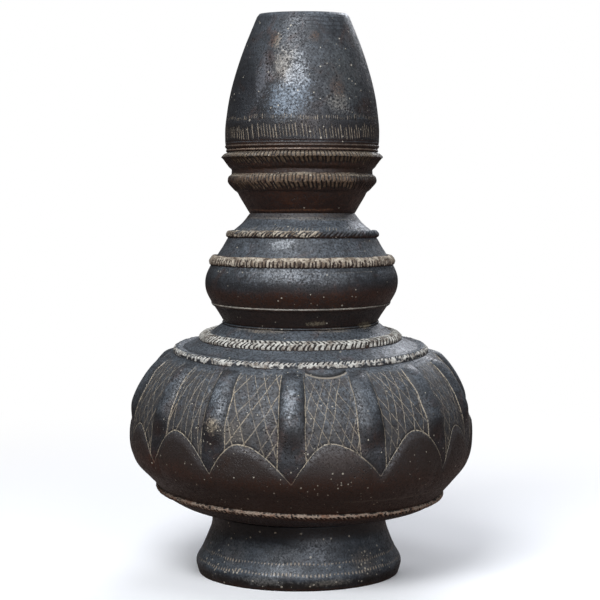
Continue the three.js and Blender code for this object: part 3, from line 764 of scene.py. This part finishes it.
    # Pits where grit fell out, and pale specks
    pitted = add(tree, "TexVoronoi", {"Vector": place["Object"], "Scale": 1 / (cells["pit"] * mm)})
    size = add(tree, "MapRange", [patches, 0.42, 0.7, 0, 0.34 * look["pits"]])
    pit = add(tree, "SUBTRACT", [size, pitted])
    pit = add(tree, "MapRange", [pit, -0.06, 0.04, 0, 1])
    colour = add(tree, "Mix", [pit, colour, linear(look["pit"])], data_type="RGBA")
    height = add(tree, "MULTIPLY_ADD", [pit, -look["pitDeep"], height])
    dusted = look["dust"]
    for *patch, most in look["dusty"]:
        share = add(tree, "MULTIPLY", [patchAt(tree, place, ragged, *patch), most])
        dusted = add(tree, "MAXIMUM", [dusted, share])
    sorts = (("speck", look["speckSize"], look["specks"]), ("dust", look["dustSize"], dusted))
    for label, most, share in sorts:
        cell = cells[label] * mm
        specks = add(tree, "TexVoronoi", {"Vector": place["Object"], "Scale": 1 / cell})
        pick = add(tree, "SeparateColor", [specks.node.outputs["Color"]])
        least = add(tree, "SUBTRACT", [1, share])
        size = add(tree, "MapRange", [pick, least, 1, 0, most / cell])
        speck = add(tree, "MULTIPLY_ADD", [grain, 0.25, specks])
        speck = add(tree, "SUBTRACT", [speck, 0.12])
        speck = add(tree, "SUBTRACT", [size, speck])
        speck = add(tree, "MapRange", [speck, -0.03, 0.02, 0, 0.85])
        colour = add(tree, "Mix", [speck, colour, linear(look["speck"])], data_type="RGBA")

    bump = add(tree, "Bump", {"Height": height, "Distance": 1, "Strength": 1})
    surface = add(tree, "BsdfPrincipled", {
        "Base Color": colour, "Roughness": roughness, "IOR": 1.5, "Normal": bump})
    add(tree, "OutputMaterial", [surface])
    return material


# The belly's scratched lines: a net of steep lines in each panel between two ribs, a line down each
# side of it, and a scalloped arch under it. Painted shade: the hollow beside each rib, a rib's top end,
# the arch's upper side and the crease over the flap are black. Sizes in mm, but half a panel's width
# in shares of the pitch.
scratches = {
    "panelHalf": 0.33, "low": 73, "high": 134.5, "ribTop": 129,
    "width": 0.27, "archWidth": 0.25, "lineDeep": 0.2, "furrowDeep": 0.3, "creaseDeep": 0.4,
    # hollow is the black of the painted shade
    "line": "#b3a690", "ground": "#413e3c", "hollow": "#0d0c0d", "lobe": "#2c1f17",
}


def scratched(tree, place, attributes, mottle, grain, colour, height, roughness):
    uv = add(tree, "SeparateXYZ", [place["UV"]]).node.outputs
    turns = add(tree, "MULTIPLY", [uv["X"], belly["Rib Count"]])
    local = add(tree, "FRACT", [turns])
    panel = add(tree, "FLOOR", [turns])
    side = add(tree, "SUBTRACT", [local, 0.5])
    away = add(tree, "ABSOLUTE", [side])
    pitch = 2 * math.pi * net["widest"] / belly["Rib Count"]
    wobble = add(tree, "TexNoise", {"Vector": place["Object"], "Scale": 1 / (18 * mm), "Detail": 2})
    wobble = add(tree, "SUBTRACT", [wobble, 0.5])
    tremble = add(tree, "TexNoise", {"Vector": place["Object"], "Scale": 1 / (4 * mm), "Detail": 2})

    # The net, each of its lines with a slip and a strength of its own
    lines = None
    for label, seed in (("netRight", 3), ("netLeft", 7)):
        count = add(tree, "Attribute", attribute_name=label).node.outputs["Fac"]
        count = add(tree, "MULTIPLY_ADD", [wobble, 0.6, count])
        number = add(tree, "FLOOR", [count])
        key = add(tree, "CombineXYZ", [number, panel, seed])
        chance = add(tree, "TexWhiteNoise", [key], noise_dimensions="3D")
        within = add(tree, "SUBTRACT", [count, number])
        centre = add(tree, "MapRange", [chance, 0, 1, 0.25, 0.75])
        off = add(tree, "SUBTRACT", [within, centre])
        off = add(tree, "ABSOLUTE", [off])
        off = add(tree, "MULTIPLY", [off, net["usual"][1]])
        line = add(tree, "MapRange", [off, scratches["width"] * 0.4, scratches["width"] * 1.4, 1, 0])
        strength = add(tree, "MapRange", [chance, 0, 1, 1, 0.45])
        line = add(tree, "MULTIPLY", [line, strength])
        lines = line if lines is None else add(tree, "MAXIMUM", [lines, line])

    # The window that the net fills, and its borders
    over = add(tree, "Attribute", attribute_name="over").node.outputs["Fac"]
    over = add(tree, "MULTIPLY_ADD", [wobble, 2.2, over])
    inside = add(tree, "MapRange", [away, scratches["panelHalf"] - 0.012, scratches["panelHalf"], 1, 0])
    above = add(tree, "MapRange", [over, -1.5, 0.6, 0, 1])
    top = add(tree, "MULTIPLY_ADD", [tremble, 6, attributes["high"]])
    top = add(tree, "SUBTRACT", [top, 3])
    below = add(tree, "MapRange", [top, scratches["high"] - 2, scratches["high"], 1, 0])
    flap = add(tree, "Attribute", attribute_name="ledge").node.outputs["Fac"]
    uncovered = add(tree, "MapRange", [flap, -0.6, 0, 1, 0])
    window = inside
    for share in (above, below, uncovered):
        window = add(tree, "MULTIPLY", [window, share])
    edge = add(tree, "SUBTRACT", [away, scratches["panelHalf"]])
    edge = add(tree, "MULTIPLY_ADD", [wobble, 0.07, edge])
    edge = add(tree, "ABSOLUTE", [edge])
    edge = add(tree, "MULTIPLY", [edge, pitch])
    border = add(tree, "MapRange", [edge, scratches["width"] * 0.5, scratches["width"] * 1.5, 1, 0])
    for share in (below, above):
        border = add(tree, "MULTIPLY", [border, share])
    lines = add(tree, "MULTIPLY", [lines, window])
    lines = add(tree, "MAXIMUM", [lines, border])
    fading = add(tree, "MapRange", [wobble, -0.15, 0.1, 0.45, 1])
    skips = add(tree, "MapRange", [grain, 0.38, 0.54, 0.2, 1])
    for share in (fading, skips):
        lines = add(tree, "MULTIPLY", [lines, share])

    # The arch: a furrow, pale along its lower lip, and black above it as painted shadow
    slant = add(tree, "MapRange", [away, 0, 0.5, 1, 0.5])
    over = add(tree, "MULTIPLY", [over, slant])
    off = add(tree, "ABSOLUTE", [over])
    arc = add(tree, "MapRange", [off, scratches["archWidth"] * 0.5, scratches["archWidth"] * 1.4, 1, 0])
    low = add(tree, "MapRange", [attributes["high"], scratches["low"], scratches["low"] + 14, 0.1, 1])
    for share in (low, skips, fading):
        arc = add(tree, "MULTIPLY", [arc, share])
    dark = add(tree, "MapRange", [over, 0.3, 1.6, 0.85, 0])
    beyond = add(tree, "MapRange", [over, 0.1, 0.4])
    for share in (low, beyond):
        dark = add(tree, "MULTIPLY", [dark, share])

    # The hollow beside a rib, and a rib's top end, painted black as shade
    rising = add(tree, "MapRange", [attributes["rib"], 0.01, 0.25])
    falling = add(tree, "MapRange", [attributes["rib"], 0.3, 0.8, 1, 0])
    hollow = rising
    for share in (falling, 0.5):
        hollow = add(tree, "MULTIPLY", [hollow, share])
    ribTopShade = add(tree, "MapRange", [attributes["high"], scratches["ribTop"], scratches["ribTop"] + 5, 0, 0.7])
    ribTopShade = add(tree, "MULTIPLY", [ribTopShade, rising])
    hollow = add(tree, "MAXIMUM", [hollow, ribTopShade])

    # The flap of clay over one panel: a pale lip below it, and a crease above, painted black as its shadow
    lip = add(tree, "MapRange", [flap, -1.2, -0.5, 0, 0.6])
    lip = add(tree, "MULTIPLY", [lip, uncovered])
    crease = add(tree, "MapRange", [flap, 0.5, 1.8, 1, 0])
    creased = add(tree, "MapRange", [flap, -0.3, 0])
    crease = add(tree, "MULTIPLY", [creased, crease])

    # Panels are dusty and dull, and the lobes keep the brown of the clay under their soot
    dusty = add(tree, "MapRange", [tremble, 0.38, 0.6, 0.1, 0.7])
    dusty = add(tree, "MULTIPLY", [dusty, window])
    under = add(tree, "MapRange", [over, -1.5, 0, 0.6, 0])
    for line in (arc, lip):
        lines = add(tree, "MAXIMUM", [lines, line])
    for share, label in ((under, "lobe"), (dusty, "ground"), (hollow, "hollow"), (dark, "hollow"),
                         (crease, "hollow"), (lines, "line")):
        colour = add(tree, "Mix", [share, colour, linear(scratches[label])], data_type="RGBA")
    for share, label in ((crease, "creaseDeep"), (lines, "lineDeep"), (dark, "furrowDeep")):
        height = add(tree, "MULTIPLY_ADD", [share, -scratches[label] * mm, height])
    roughness = add(tree, "MULTIPLY_ADD", [window, 0.12, roughness])
    return colour, height, roughness


# Pieces, each with its sizes (columns and counts round the jar, steps and depths in mm) and its look

belly = {
    "Rib Count": ribs["count"], "Rib Proud": 3.1 * mm, "Rib Half": 0.185, "Rib Fullness": 1.05,
    "Rib Low": 93, "Rib Fade": 15, "Rib High": 136.5, "Rib Top Fade": 7, "Valley": 0.2 * mm,
    "Lobe Proud": 1.2 * mm, "Lobe Low": 58, "Arch Edge": 5,
}
onStrip = impressionTree("impressions across a strip", "across")
onWall = impressionTree("impressions in a wall", "high")
crumbled = crumbleTree()
relief = reliefTree()
cream, soil = "#b3a78c", "#8d7f6b"
daubs = [(11, 48, 156.7, 6.5, 1.4, cream, 0.95), (54, 47, 154.2, 6, 2.2, cream, 0.95),  # slip round the bulb
         (-28, 50, 152, 16, 1.6, soil, 0.7), (25, 50, 152.5, 12, 1.4, soil, 0.6)]

pieces = [
    {"node": "foot_ring", "slot": "burnished_clay", "columns": 1152, "steps": [(0, 20, 0.7), (20, 38, 1.6)],
     "sizes": {"drawnUp": 0.45},
     "passes": [(onWall, {"Count": 165, "Depth": 0.35 * mm, "Width": 0.75, "From": 9.6, "To": 10.6,
                          "Fade": 0.5, "Waver": 0.25, "Jitter": 0.25, "Patchy": 0.4, "Seed": 3}),
                (onWall, {"Count": 165, "Depth": 0.35 * mm, "Width": 0.75, "From": 15.5, "To": 16.4,
                          "Fade": 0.5, "Waver": 0.25, "Jitter": 0.25, "Patchy": 0.5, "Seed": 8})],
     "look": {"slateAndSheen": "#4b5157", "soot": "#2f343a", "earthAndWarmReflection": "#15100d", "cut": "#9c9182", "cutShare": 0.95,
              "rustShare": 0.2, "roughness": 0.36, "specks": 0.35, "speckSize": 0.7 * mm, "flecks": 0.4,
              "dustSize": 0.75 * mm,
              "dusty": [(-48, 62, 9, 16, 5, 0.9), (-66, 58, 17, 12, 6, 0.6), (46, 60, 14, 15, 9, 0.7),
                        (4, 63, 3.5, 12, 1.5, 0.7), (24, 62, 5, 9, 2, 0.6)],
              "patchesAndPaintedLight": [(-43, 58, 18, 9, 7, "#5a5148", 0.35), (40, 59, 14, 11, 8, "#66594a", 0.5),
                        (-20, 62, 5.5, 16, 2.5, "#8f8f8c", 0.5), (16, 62, 5, 14, 2, "#8f8a80", 0.5)],
              "bandsAndPaintedLight": [(34, 7, "#120b08", 0.95, 0, 180), (0.9, 1.2, "#301a0e", 0.9, 0, 180)]}},
    {"node": "foot_luting_coil", "slot": "luting_clay", "kind": "coil", "columns": 256,
     "look": {"roughness": 0.7}},
    {"node": "belly", "slot": "burnished_clay", "columns": 784,
     "steps": [(37, 60, 2.6), (60, 96, 1.7), (96, 136, 1.15), (136, 160, 2)],
     "marking": markBelly, "passes": [(relief, belly)], "marks": scratched,
     "look": {"pits": 0.8, "specks": 0.5, "earthAndWarmReflection": "#301206", "flecks": 0.9, "gritty": 0.55, "dust": 0.08,
              # The blue-grey patches on three ribs near 120 mm high are painted highlights, and the
              # grey-brown one on the front lobe is painted sheen
              "patchesAndPaintedLight": [(-29, 103, 102.4, 4.5, 4.5, "#b3a58e", 0.85), (-59, 99, 116, 2, 2.2, "#b5ac96", 0.9),
                        (-22, 103, 99, 8, 7, "#7d7364", 0.6), (-16, 104, 84, 14, 9, "#14161a", 0.6),
                        (12, 87, 47.3, 20, 2.6, "#7a4421", 0.95),
                        (-62, 98, 70, 34, 13, "#4a1e08", 0.95), (-4, 97, 120, 5, 12, "#a9b2ba", 0.5),
                        (-31, 96, 123, 4.5, 8, "#a9b2ba", 0.5), (25, 97, 119, 4, 12, "#858d94", 0.4),
                        (12, 104, 86, 16, 7, "#6a625e", 0.5), *daubs],
              "dustSize": 0.5 * mm,
              "dusty": [(-31, 103, 97, 7, 12, 0.8), (-22, 103, 97, 9, 9, 0.45), (-12, 103, 74, 15, 9, 0.35),
                        (40, 97, 120, 6, 12, 0.5), (-50, 100, 96, 9, 16, 0.4), (15, 98, 66, 60, 11, 0.3),
                        (18, 100, 118, 6, 10, 0.25)],
              "bandsAndPaintedLight": [(62, 0.7, "#b5ab9c", 1, 40, 27), (49, 1.4, "#6e3d20", 0.9, 10, 24),
                        (139.3, 0.5, "#0e0c0c", 0.8, 0, 180), (137, 2.2, "#23272b", 0.5, 0, 180),
                        (62, 15, "#2f1206", 0.85, 0, 180)]}},
    {"node": "lower_belly_strip", "slot": "worn_clay", "kind": "strip", "columns": 1400,
     "passes": [(crumbled, {"Crumb": 0.14 * mm, "Pinch": 0.2 * mm, "Seed": 1}),
                (onStrip, {"Count": 205, "Depth": 1.1 * mm, "Width": 0.75, "From": -0.2, "To": 0.62,
                           "Slant": 0.9, "Jitter": 0.3, "Seed": 5})],
     "look": {"slateAndSheen": "#2b2622", "soot": "#1f1916", "worn": "#ad9c8b", "wornShare": 0.95,
              "stain": "#7b4c31", "cut": "#0f0a08", "cutShare": 1, "roughness": 0.6}},
    {"node": "shoulder_strip", "slot": "worn_clay", "kind": "strip", "columns": 1400,
     "sizes": {"feather": (0.2, 0.55), "rowStep": 0.4},
     "passes": [(crumbled, {"Crumb": 0.3 * mm, "Pinch": 0.3 * mm, "Pinch Size": 16 * mm, "Seed": 2}),
                (onStrip, {"Count": 168, "Depth": 0.8 * mm, "Width": 0.55, "From": 0.3, "To": 0.55,
                           "Slant": -0.7, "Jitter": 0.5, "Seed": 2})],
     "look": {"worn": "#cdcbc3", "wornShare": 1, "wornFrom": 0.13, "wornTo": 0.42, "cut": "#13100e",
              "cutShare": 0.95, "roughness": 0.6}},
    {"node": "terrace_strip", "slot": "worn_clay", "kind": "strip", "columns": 1400,
     "sizes": {"feather": (0.1, 0.15), "rowStep": 0.4},
     "passes": [(crumbled, {"Crumb": 0.22 * mm, "Pinch": 0.3 * mm, "Seed": 3}),
                (onStrip, {"Count": 118, "Depth": 0.8 * mm, "Width": 0.6, "From": 0.52, "To": 0.86,
                           "Slant": 0.6, "Jitter": 0.4, "Seed": 4}),
                (onStrip, {"Count": 118, "Depth": 0.8 * mm, "Width": 0.6, "From": 0.08, "To": 0.4,
                           "Slant": -0.6, "Jitter": 0.4, "Seed": 6})],
     "look": {"slateAndSheen": "#332e29", "soot": "#26201c", "worn": "#cac8bf", "wornShare": 1, "cut": "#1f1713",
              "cutShare": 0.9, "roughness": 0.6}},
    {"node": "neck_luting_coil", "slot": "luting_clay", "kind": "coil", "columns": 512,
     "sizes": {"swell": 0.7}, "passes": [(crumbled, {"Crumb": 0.2 * mm, "Pinch": 0.4 * mm, "Seed": 4})],
     "look": {"slateAndSheen": "#33383c", "roughness": 0.5, "patchesAndPaintedLight": daubs, "dust": 0.3}},
    {"node": "bulb", "slot": "burnished_clay", "columns": 640,
     "steps": [(150, 209, 1.4), (209, 213, 0.5), (213, 225, 1.4)], "sizes": {"drawnDown": 0.45},
     "passes": [(onWall, {"Count": 118, "Depth": 0.25 * mm, "Width": 0.5, "From": 210, "To": 211.8,
                          "Fade": 0.5, "Slant": -0.5, "Waver": 0.3, "Jitter": 0.3, "Patchy": 0.8,
                          "Seed": 17})],
     "look": {"cut": "#9a9180", "cutShare": 0.6, "pits": 0.7, "flecks": 0.85, "gritty": 0.5, "dust": 0.07,
              # The pale blue-grey patches in front are painted sheen and highlight, and the near-black one
              # at the left edge is painted shade
              "patchesAndPaintedLight": [(-12, 57, 186, 22, 4.5, "#9aa0a6", 0.45), (-14, 48, 203, 8, 3, "#b0b5b8", 0.65),
                        (20, 57, 184, 14, 4, "#7b8084", 0.3), (-78, 57, 180, 14, 22, "#0e0e11", 0.95),
                        *daubs],
              # The pale line at 186.4 mm is a painted highlight on the cordon, and the dark one at 183.6 mm
              # painted shadow under it
              "bandsAndPaintedLight": [(219, 3.2, "#43362b", 0.8, 0, 180), (160, 8, "#1b1c1f", 0.6, 0, 180),
                        (217.2, 0.5, "#8b8478", 0.6, -20, 45), (216.2, 0.4, "#8b8478", 0.5, 35, 40),
                        (208.6, 0.3, "#7d766a", 0.4, 10, 60), (186.4, 0.3, "#a5a29b", 0.3, 5, 45),
                        (183.6, 0.3, "#15110f", 0.5, 0, 60), (172, 5, "#351808", 0.7, 0, 180)]}},
    # The cordon round the bulb, its pale colour a painted highlight along it
    {"node": "bulb_cordon", "slot": "burnished_clay", "kind": "strip", "columns": 512,
     "sizes": {"swell": 0.3, "sunk": 0.3},
     "look": {"slateAndSheen": "#7d786f", "soot": "#332e2a", "flecks": 0.3, "blotch": 0.3}},
    {"node": "bulb_strip", "slot": "worn_clay", "kind": "strip", "columns": 1400,
     "passes": [(crumbled, {"Crumb": 0.36 * mm, "Crumb Size": 2 * mm, "Pinch": 0.35 * mm, "Seed": 5}),
                (onStrip, {"Count": 140, "Depth": 0.8 * mm, "Width": 0.7, "From": -0.1, "To": 0.55,
                           "Jitter": 0.45, "Patchy": 0.4, "Seed": 7})],
     "look": {"slateAndSheen": "#4a3c30", "soot": "#33261d", "worn": "#bdb3a2", "wornShare": 1, "wornTo": 0.93,
              "stainFrom": 0.4, "cut": "#2c1e15", "cutShare": 0.9, "roughness": 0.6}},
    {"node": "collar_strip", "slot": "worn_clay", "kind": "strip", "columns": 1400,
     "sizes": {"swell": 1.15},
     "passes": [(crumbled, {"Crumb": 0.42 * mm, "Crumb Size": 2.2 * mm, "Pinch": 0.3 * mm, "Seed": 6}),
                (onStrip, {"Count": 96, "Depth": 0.9 * mm, "Width": 0.5, "From": 0.1, "To": 0.95,
                           "Slant": -1.6, "Jitter": 0.5, "Seed": 9})],
     "look": {"worn": "#b8ae9d", "wornShare": 1, "wornBearing": -60, "wornHalf": 71, "wornFrom": 0.08,
              "wornTo": 0.92, "stainFrom": 0.42, "cut": "#1a1513", "cutShare": 0.9, "roughness": 0.55,
              "dusty": [(40, 44, 207, 28, 4, 0.85)]}},
    {"node": "upper_neck", "slot": "burnished_clay", "columns": 576, "steps": [(220, 264, 1.4)],
     "sizes": {"drawnDown": 0.45},
     "look": {"earthAndWarmReflection": "#240f05", "soot": "#261b16", "rustShare": 0.6, "pits": 0.6,
              "bandsAndPaintedLight": [(222.1, 0.7, "#6b4a35", 0.8, -25, 60), (220.6, 0.8, "#37261c", 0.8, 0, 180),
                        (231, 7, "#280f05", 0.7, -35, 45), (247, 3.5, "#33221a", 0.9, 0, 180),
                        (243.6, 0.7, "#a39886", 0.9, 0, 80)]}},
    {"node": "lower_flange", "slot": "notched_clay", "kind": "strip", "columns": 1400,
     "sizes": {"hollow": 1.7, "feather": (0.25, 0.08)},
     "passes": [(crumbled, {"Crumb": 0.1 * mm, "Pinch": 0.25 * mm, "Seed": 7}),
                (onStrip, {"Count": 100, "Depth": 0.8 * mm, "Width": 0.6, "From": 0.3, "To": 0.68,
                           "Slant": 0.5, "Jitter": 0.35, "Seed": 11}),
                (onStrip, {"Count": 118, "Depth": 0.5 * mm, "Width": 0.5, "From": 0.76, "To": 0.95,
                           "Jitter": 0.3, "Seed": 12})],
     "look": {"soot": "#33251c", "slateAndSheen": "#4b433c", "worn": "#84705b", "wornShare": 0.7, "wornHalf": 52,
              "wornBearing": -8, "wornFrom": 0.36, "cut": "#110c0a", "cutShare": 0.9, "roughness": 0.5,
              "bandsAndPaintedLight": [(242.9, 0.7, "#a39886", 0.9, 0, 80)]}},
    {"node": "upper_flange", "slot": "notched_clay", "kind": "strip", "columns": 1400,
     "sizes": {"hollow": 1.7, "feather": (0.25, 0.05)},
     "passes": [(crumbled, {"Crumb": 0.1 * mm, "Pinch": 0.25 * mm, "Seed": 8}),
                (onStrip, {"Count": 108, "Depth": 0.7 * mm, "Width": 0.6, "From": 0.42, "To": 0.78,
                           "Slant": 0.5, "Jitter": 0.4, "Seed": 13}),
                (onStrip, {"Count": 126, "Depth": 0.4 * mm, "Width": 0.5, "From": 0.86, "To": 0.99,
                           "Jitter": 0.3, "Seed": 14})],
     "look": {"soot": "#33251c", "slateAndSheen": "#4a433c", "worn": "#75654f", "wornShare": 0.6, "wornHalf": 60,
              "wornBearing": 0, "wornFrom": 0.5, "cut": "#110c0a", "cutShare": 0.9, "roughness": 0.5,
              "bandsAndPaintedLight": [(255.6, 0.7, "#9c9384", 0.9, 0, 85)]}},
    {"node": "lower_neck_cordon", "slot": "burnished_clay", "kind": "strip", "columns": 512,
     "sizes": {"swell": 0.35}, "look": {"soot": "#4c3a2f", "slateAndSheen": "#7b6e60", "earthAndWarmReflection": "#2a180f"}},
    {"node": "upper_neck_cordon", "slot": "burnished_clay", "kind": "strip", "columns": 512,
     "sizes": {"swell": 0.3}, "look": {"soot": "#443a33", "slateAndSheen": "#54493f", "earthAndWarmReflection": "#2a180f"}},
    {"node": "mouth", "slot": "burnished_clay", "columns": 1152,
     "steps": [(262, 282, 0.75), (282, 342, 2.2)], "sizes": {"drawnDown": 0.45},
     "passes": [(onWall, {"Count": 150, "Depth": 0.3 * mm, "Width": 0.5, "From": 265.5, "To": 273,
                          "Fade": 1.2, "Slant": 0.6, "Waver": 0.5, "Jitter": 0.4, "Patchy": 0.7,
                          "Seed": 15}),
                (onWall, {"Count": 210, "Depth": 0.2 * mm, "Width": 0.5, "From": 276.5, "To": 278.5,
                          "Fade": 0.6, "Waver": 0.5, "Jitter": 0.4, "Patchy": 0.8, "Seed": 16})],
     "look": {"cut": "#968a78", "cutShare": 0.85, "pits": 1.0, "flecks": 0.85, "roughness": 0.38,
              "dust": 0.1,
              # The near-black patches at the left and right sides are painted shade, and the pale grey and
              # blue-grey ones in front are painted highlight over worn clay
              "patchesAndPaintedLight": [(-65, 41, 300, 17, 36, "#0e0e12", 0.95), (72, 43, 292, 13, 30, "#111217", 0.6),
                        (38, 42, 302, 14, 26, "#5a5e5e", 0.55), (-9, 44, 290, 12, 13, "#8797a6", 0.75),
                        (-14, 39, 309, 7, 12, "#a39c90", 0.65), (-2.5, 40.5, 305, 6, 10, "#b4bac0", 0.7),
                        (29, 45, 287, 7, 6, "#a09c93", 0.5), (-25, 34, 324, 2.5, 7, "#b5a894", 0.6),
                        (-29, 33.5, 325, 3.5, 6, "#523a2a", 0.8), (14, 33.5, 326, 3.5, 3.5, "#4f3b2c", 0.8),
                        (-33, 41.5, 302, 5.5, 17, "#73767c", 0.6),
                        (30, 43.5, 295, 5, 7, "#4b382c", 0.8), (5, 46.5, 275, 9, 6, "#40322a", 0.6)],
              "bandsAndPaintedLight": [(270.5, 7, "#1c1613", 0.6, 0, 180), (276.2, 0.5, "#15110f", 0.7, -10, 75),
                        (279, 0.5, "#0f0d0c", 0.9, 24, 12), (264.4, 0.5, "#1c120c", 0.8, 0, 180),
                        (337.5, 0.5, "#101114", 0.8, 25, 50), (334.9, 0.5, "#101114", 0.8, 30, 45),
                        (332.3, 0.5, "#101114", 0.8, 25, 40), (329.8, 0.45, "#101114", 0.7, 30, 35)]}},
]

makers = {"coil": coil, "strip": pressedOn}
for piece in pieces:
    node = piece["node"]
    sizes = piece.get("sizes", {})
    if piece.get("kind"):
        body = makers[piece["kind"]](node, piece["columns"], **sizes)
    else:
        body = thrown(node, piece["columns"], piece["steps"], **sizes)
    if piece.get("marking"):
        piece["marking"](body)
    material = clay(node.replace("_", " ") + " clay", {**smoked, **piece["look"]}, piece.get("marks"))
    if piece.get("passes"):
        shaped(body, material, piece["passes"])
    else:
        body.data.materials.append(material)
    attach(body, "root")
    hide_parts(node)
    print("dressed", node, sum(len(face.vertices) - 2 for face in body.data.polygons), "triangles")


# Floor, lights and camera

stage = {
    "size": 12, "shadowReach": 0.16, "fadeReach": 0.75,  # metres; the reaches from the middle of the foot
    "bounce": "#50341f",  # the table as the jar sees it, since its underside is dark and warm
    "mirrored": 0.15,  # how white the burnish sees the table, as if the rest of the room were dark
    "ambient": 0.1,  # strength of the world for every ray that isn't the camera's or a transmitted one
    "cameraBack": 1.164, "cameraHigh": 0.2571, "aimHigh": 0.1671, "aside": -0.0006, "lens": 114.3,
}
bpy.ops.mesh.primitive_plane_add(size=stage["size"])
floor = bpy.context.object
floor.name = "floor"

# A matt white table: white where it is looked at, brown in the light that it throws back, and beyond
# the shadow as white as the room
white = bpy.data.materials.new("matt white table")
white.use_nodes = True
tree = white.node_tree
tree.nodes.clear()
path = add(tree, "LightPath").node.outputs
looked = add(tree, "MAXIMUM", [path["Is Camera Ray"], path["Is Transmission Ray"]])
looked = add(tree, "MULTIPLY_ADD", [path["Is Glossy Ray"], stage["mirrored"], looked])
colour = add(tree, "Mix", [looked, linear(stage["bounce"]), linear("#ffffff")], data_type="RGBA")
table = add(tree, "BsdfDiffuse", [colour])
away = add(tree, "TexCoord").node.outputs["Object"]
away = add(tree, "VectorMath", [away], operation="LENGTH").node.outputs["Value"]
fade = add(tree, "MapRange", [away, stage["shadowReach"], stage["fadeReach"]],
           interpolation_type="SMOOTHSTEP")
fade = add(tree, "MULTIPLY", [fade, path["Is Camera Ray"]])
room = add(tree, "Emission", [linear("#ffffff"), 1])
add(tree, "OutputMaterial", [add(tree, "MixShader", [fade, table, room])])
floor.data.materials.append(white)
floor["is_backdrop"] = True

lamps = [
    {"name": "window light", "at": (-0.34, -0.92, 1.0), "size": 0.6, "power": 16, "hue": "#f7faff"},
    {"name": "fill light", "at": (0.55, -1.3, 0.6), "size": 0.8, "power": 8.5, "hue": "#f4f7ff"},
    {"name": "top light", "at": (0.0, -0.1, 1.4), "size": 0.9, "power": 4, "hue": "#f0f5ff"},
    {"name": "back light", "at": (0.35, 1.1, 0.95), "size": 0.8, "power": 11, "hue": "#f4f7ff"},
]
lit = Vector((0, 0, 0.17))  # halfway up the jar
for lamp in lamps:
    light = bpy.data.lights.new(lamp["name"], "AREA")
    light.energy = lamp["power"]
    light.size = lamp["size"]
    light.color = linear(lamp["hue"])[:3]
    holder = bpy.data.objects.new(lamp["name"], light)
    holder.location = lamp["at"]
    holder.rotation_euler = (lit - Vector(lamp["at"])).to_track_quat("-Z", "Y").to_euler()
    bpy.context.scene.collection.objects.link(holder)

world = bpy.data.worlds.new("white room")
bpy.context.scene.world = world
world.use_nodes = True
world.node_tree.nodes.clear()
path = add(world.node_tree, "LightPath").node.outputs
looked = add(world.node_tree, "MAXIMUM", [path["Is Camera Ray"], path["Is Transmission Ray"]])
strength = add(world.node_tree, "MULTIPLY_ADD", [looked, 1 - stage["ambient"], stage["ambient"]])
room = add(world.node_tree, "Background", [linear("#ffffff"), strength])
add(world.node_tree, "OutputWorld", [room])

camera = bpy.data.objects.new("camera", bpy.data.cameras.new("camera"))
camera.data.lens = stage["lens"]
camera.location = (stage["aside"], -stage["cameraBack"], stage["cameraHigh"])
aim = Vector((stage["aside"], 0, stage["aimHigh"]))
camera.rotation_euler = (aim - camera.location).to_track_quat("-Z", "Y").to_euler()
bpy.context.scene.collection.objects.link(camera)
bpy.context.scene.camera = camera
bpy.context.scene.view_settings.view_transform = "Standard"

low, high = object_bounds()
sizes = {"cad": [list(cadBox[0]), list(cadBox[1])], "scene": [list(low), list(high)]}
print("size", [round((b - a) / mm, 1) for a, b in zip(low, high)])
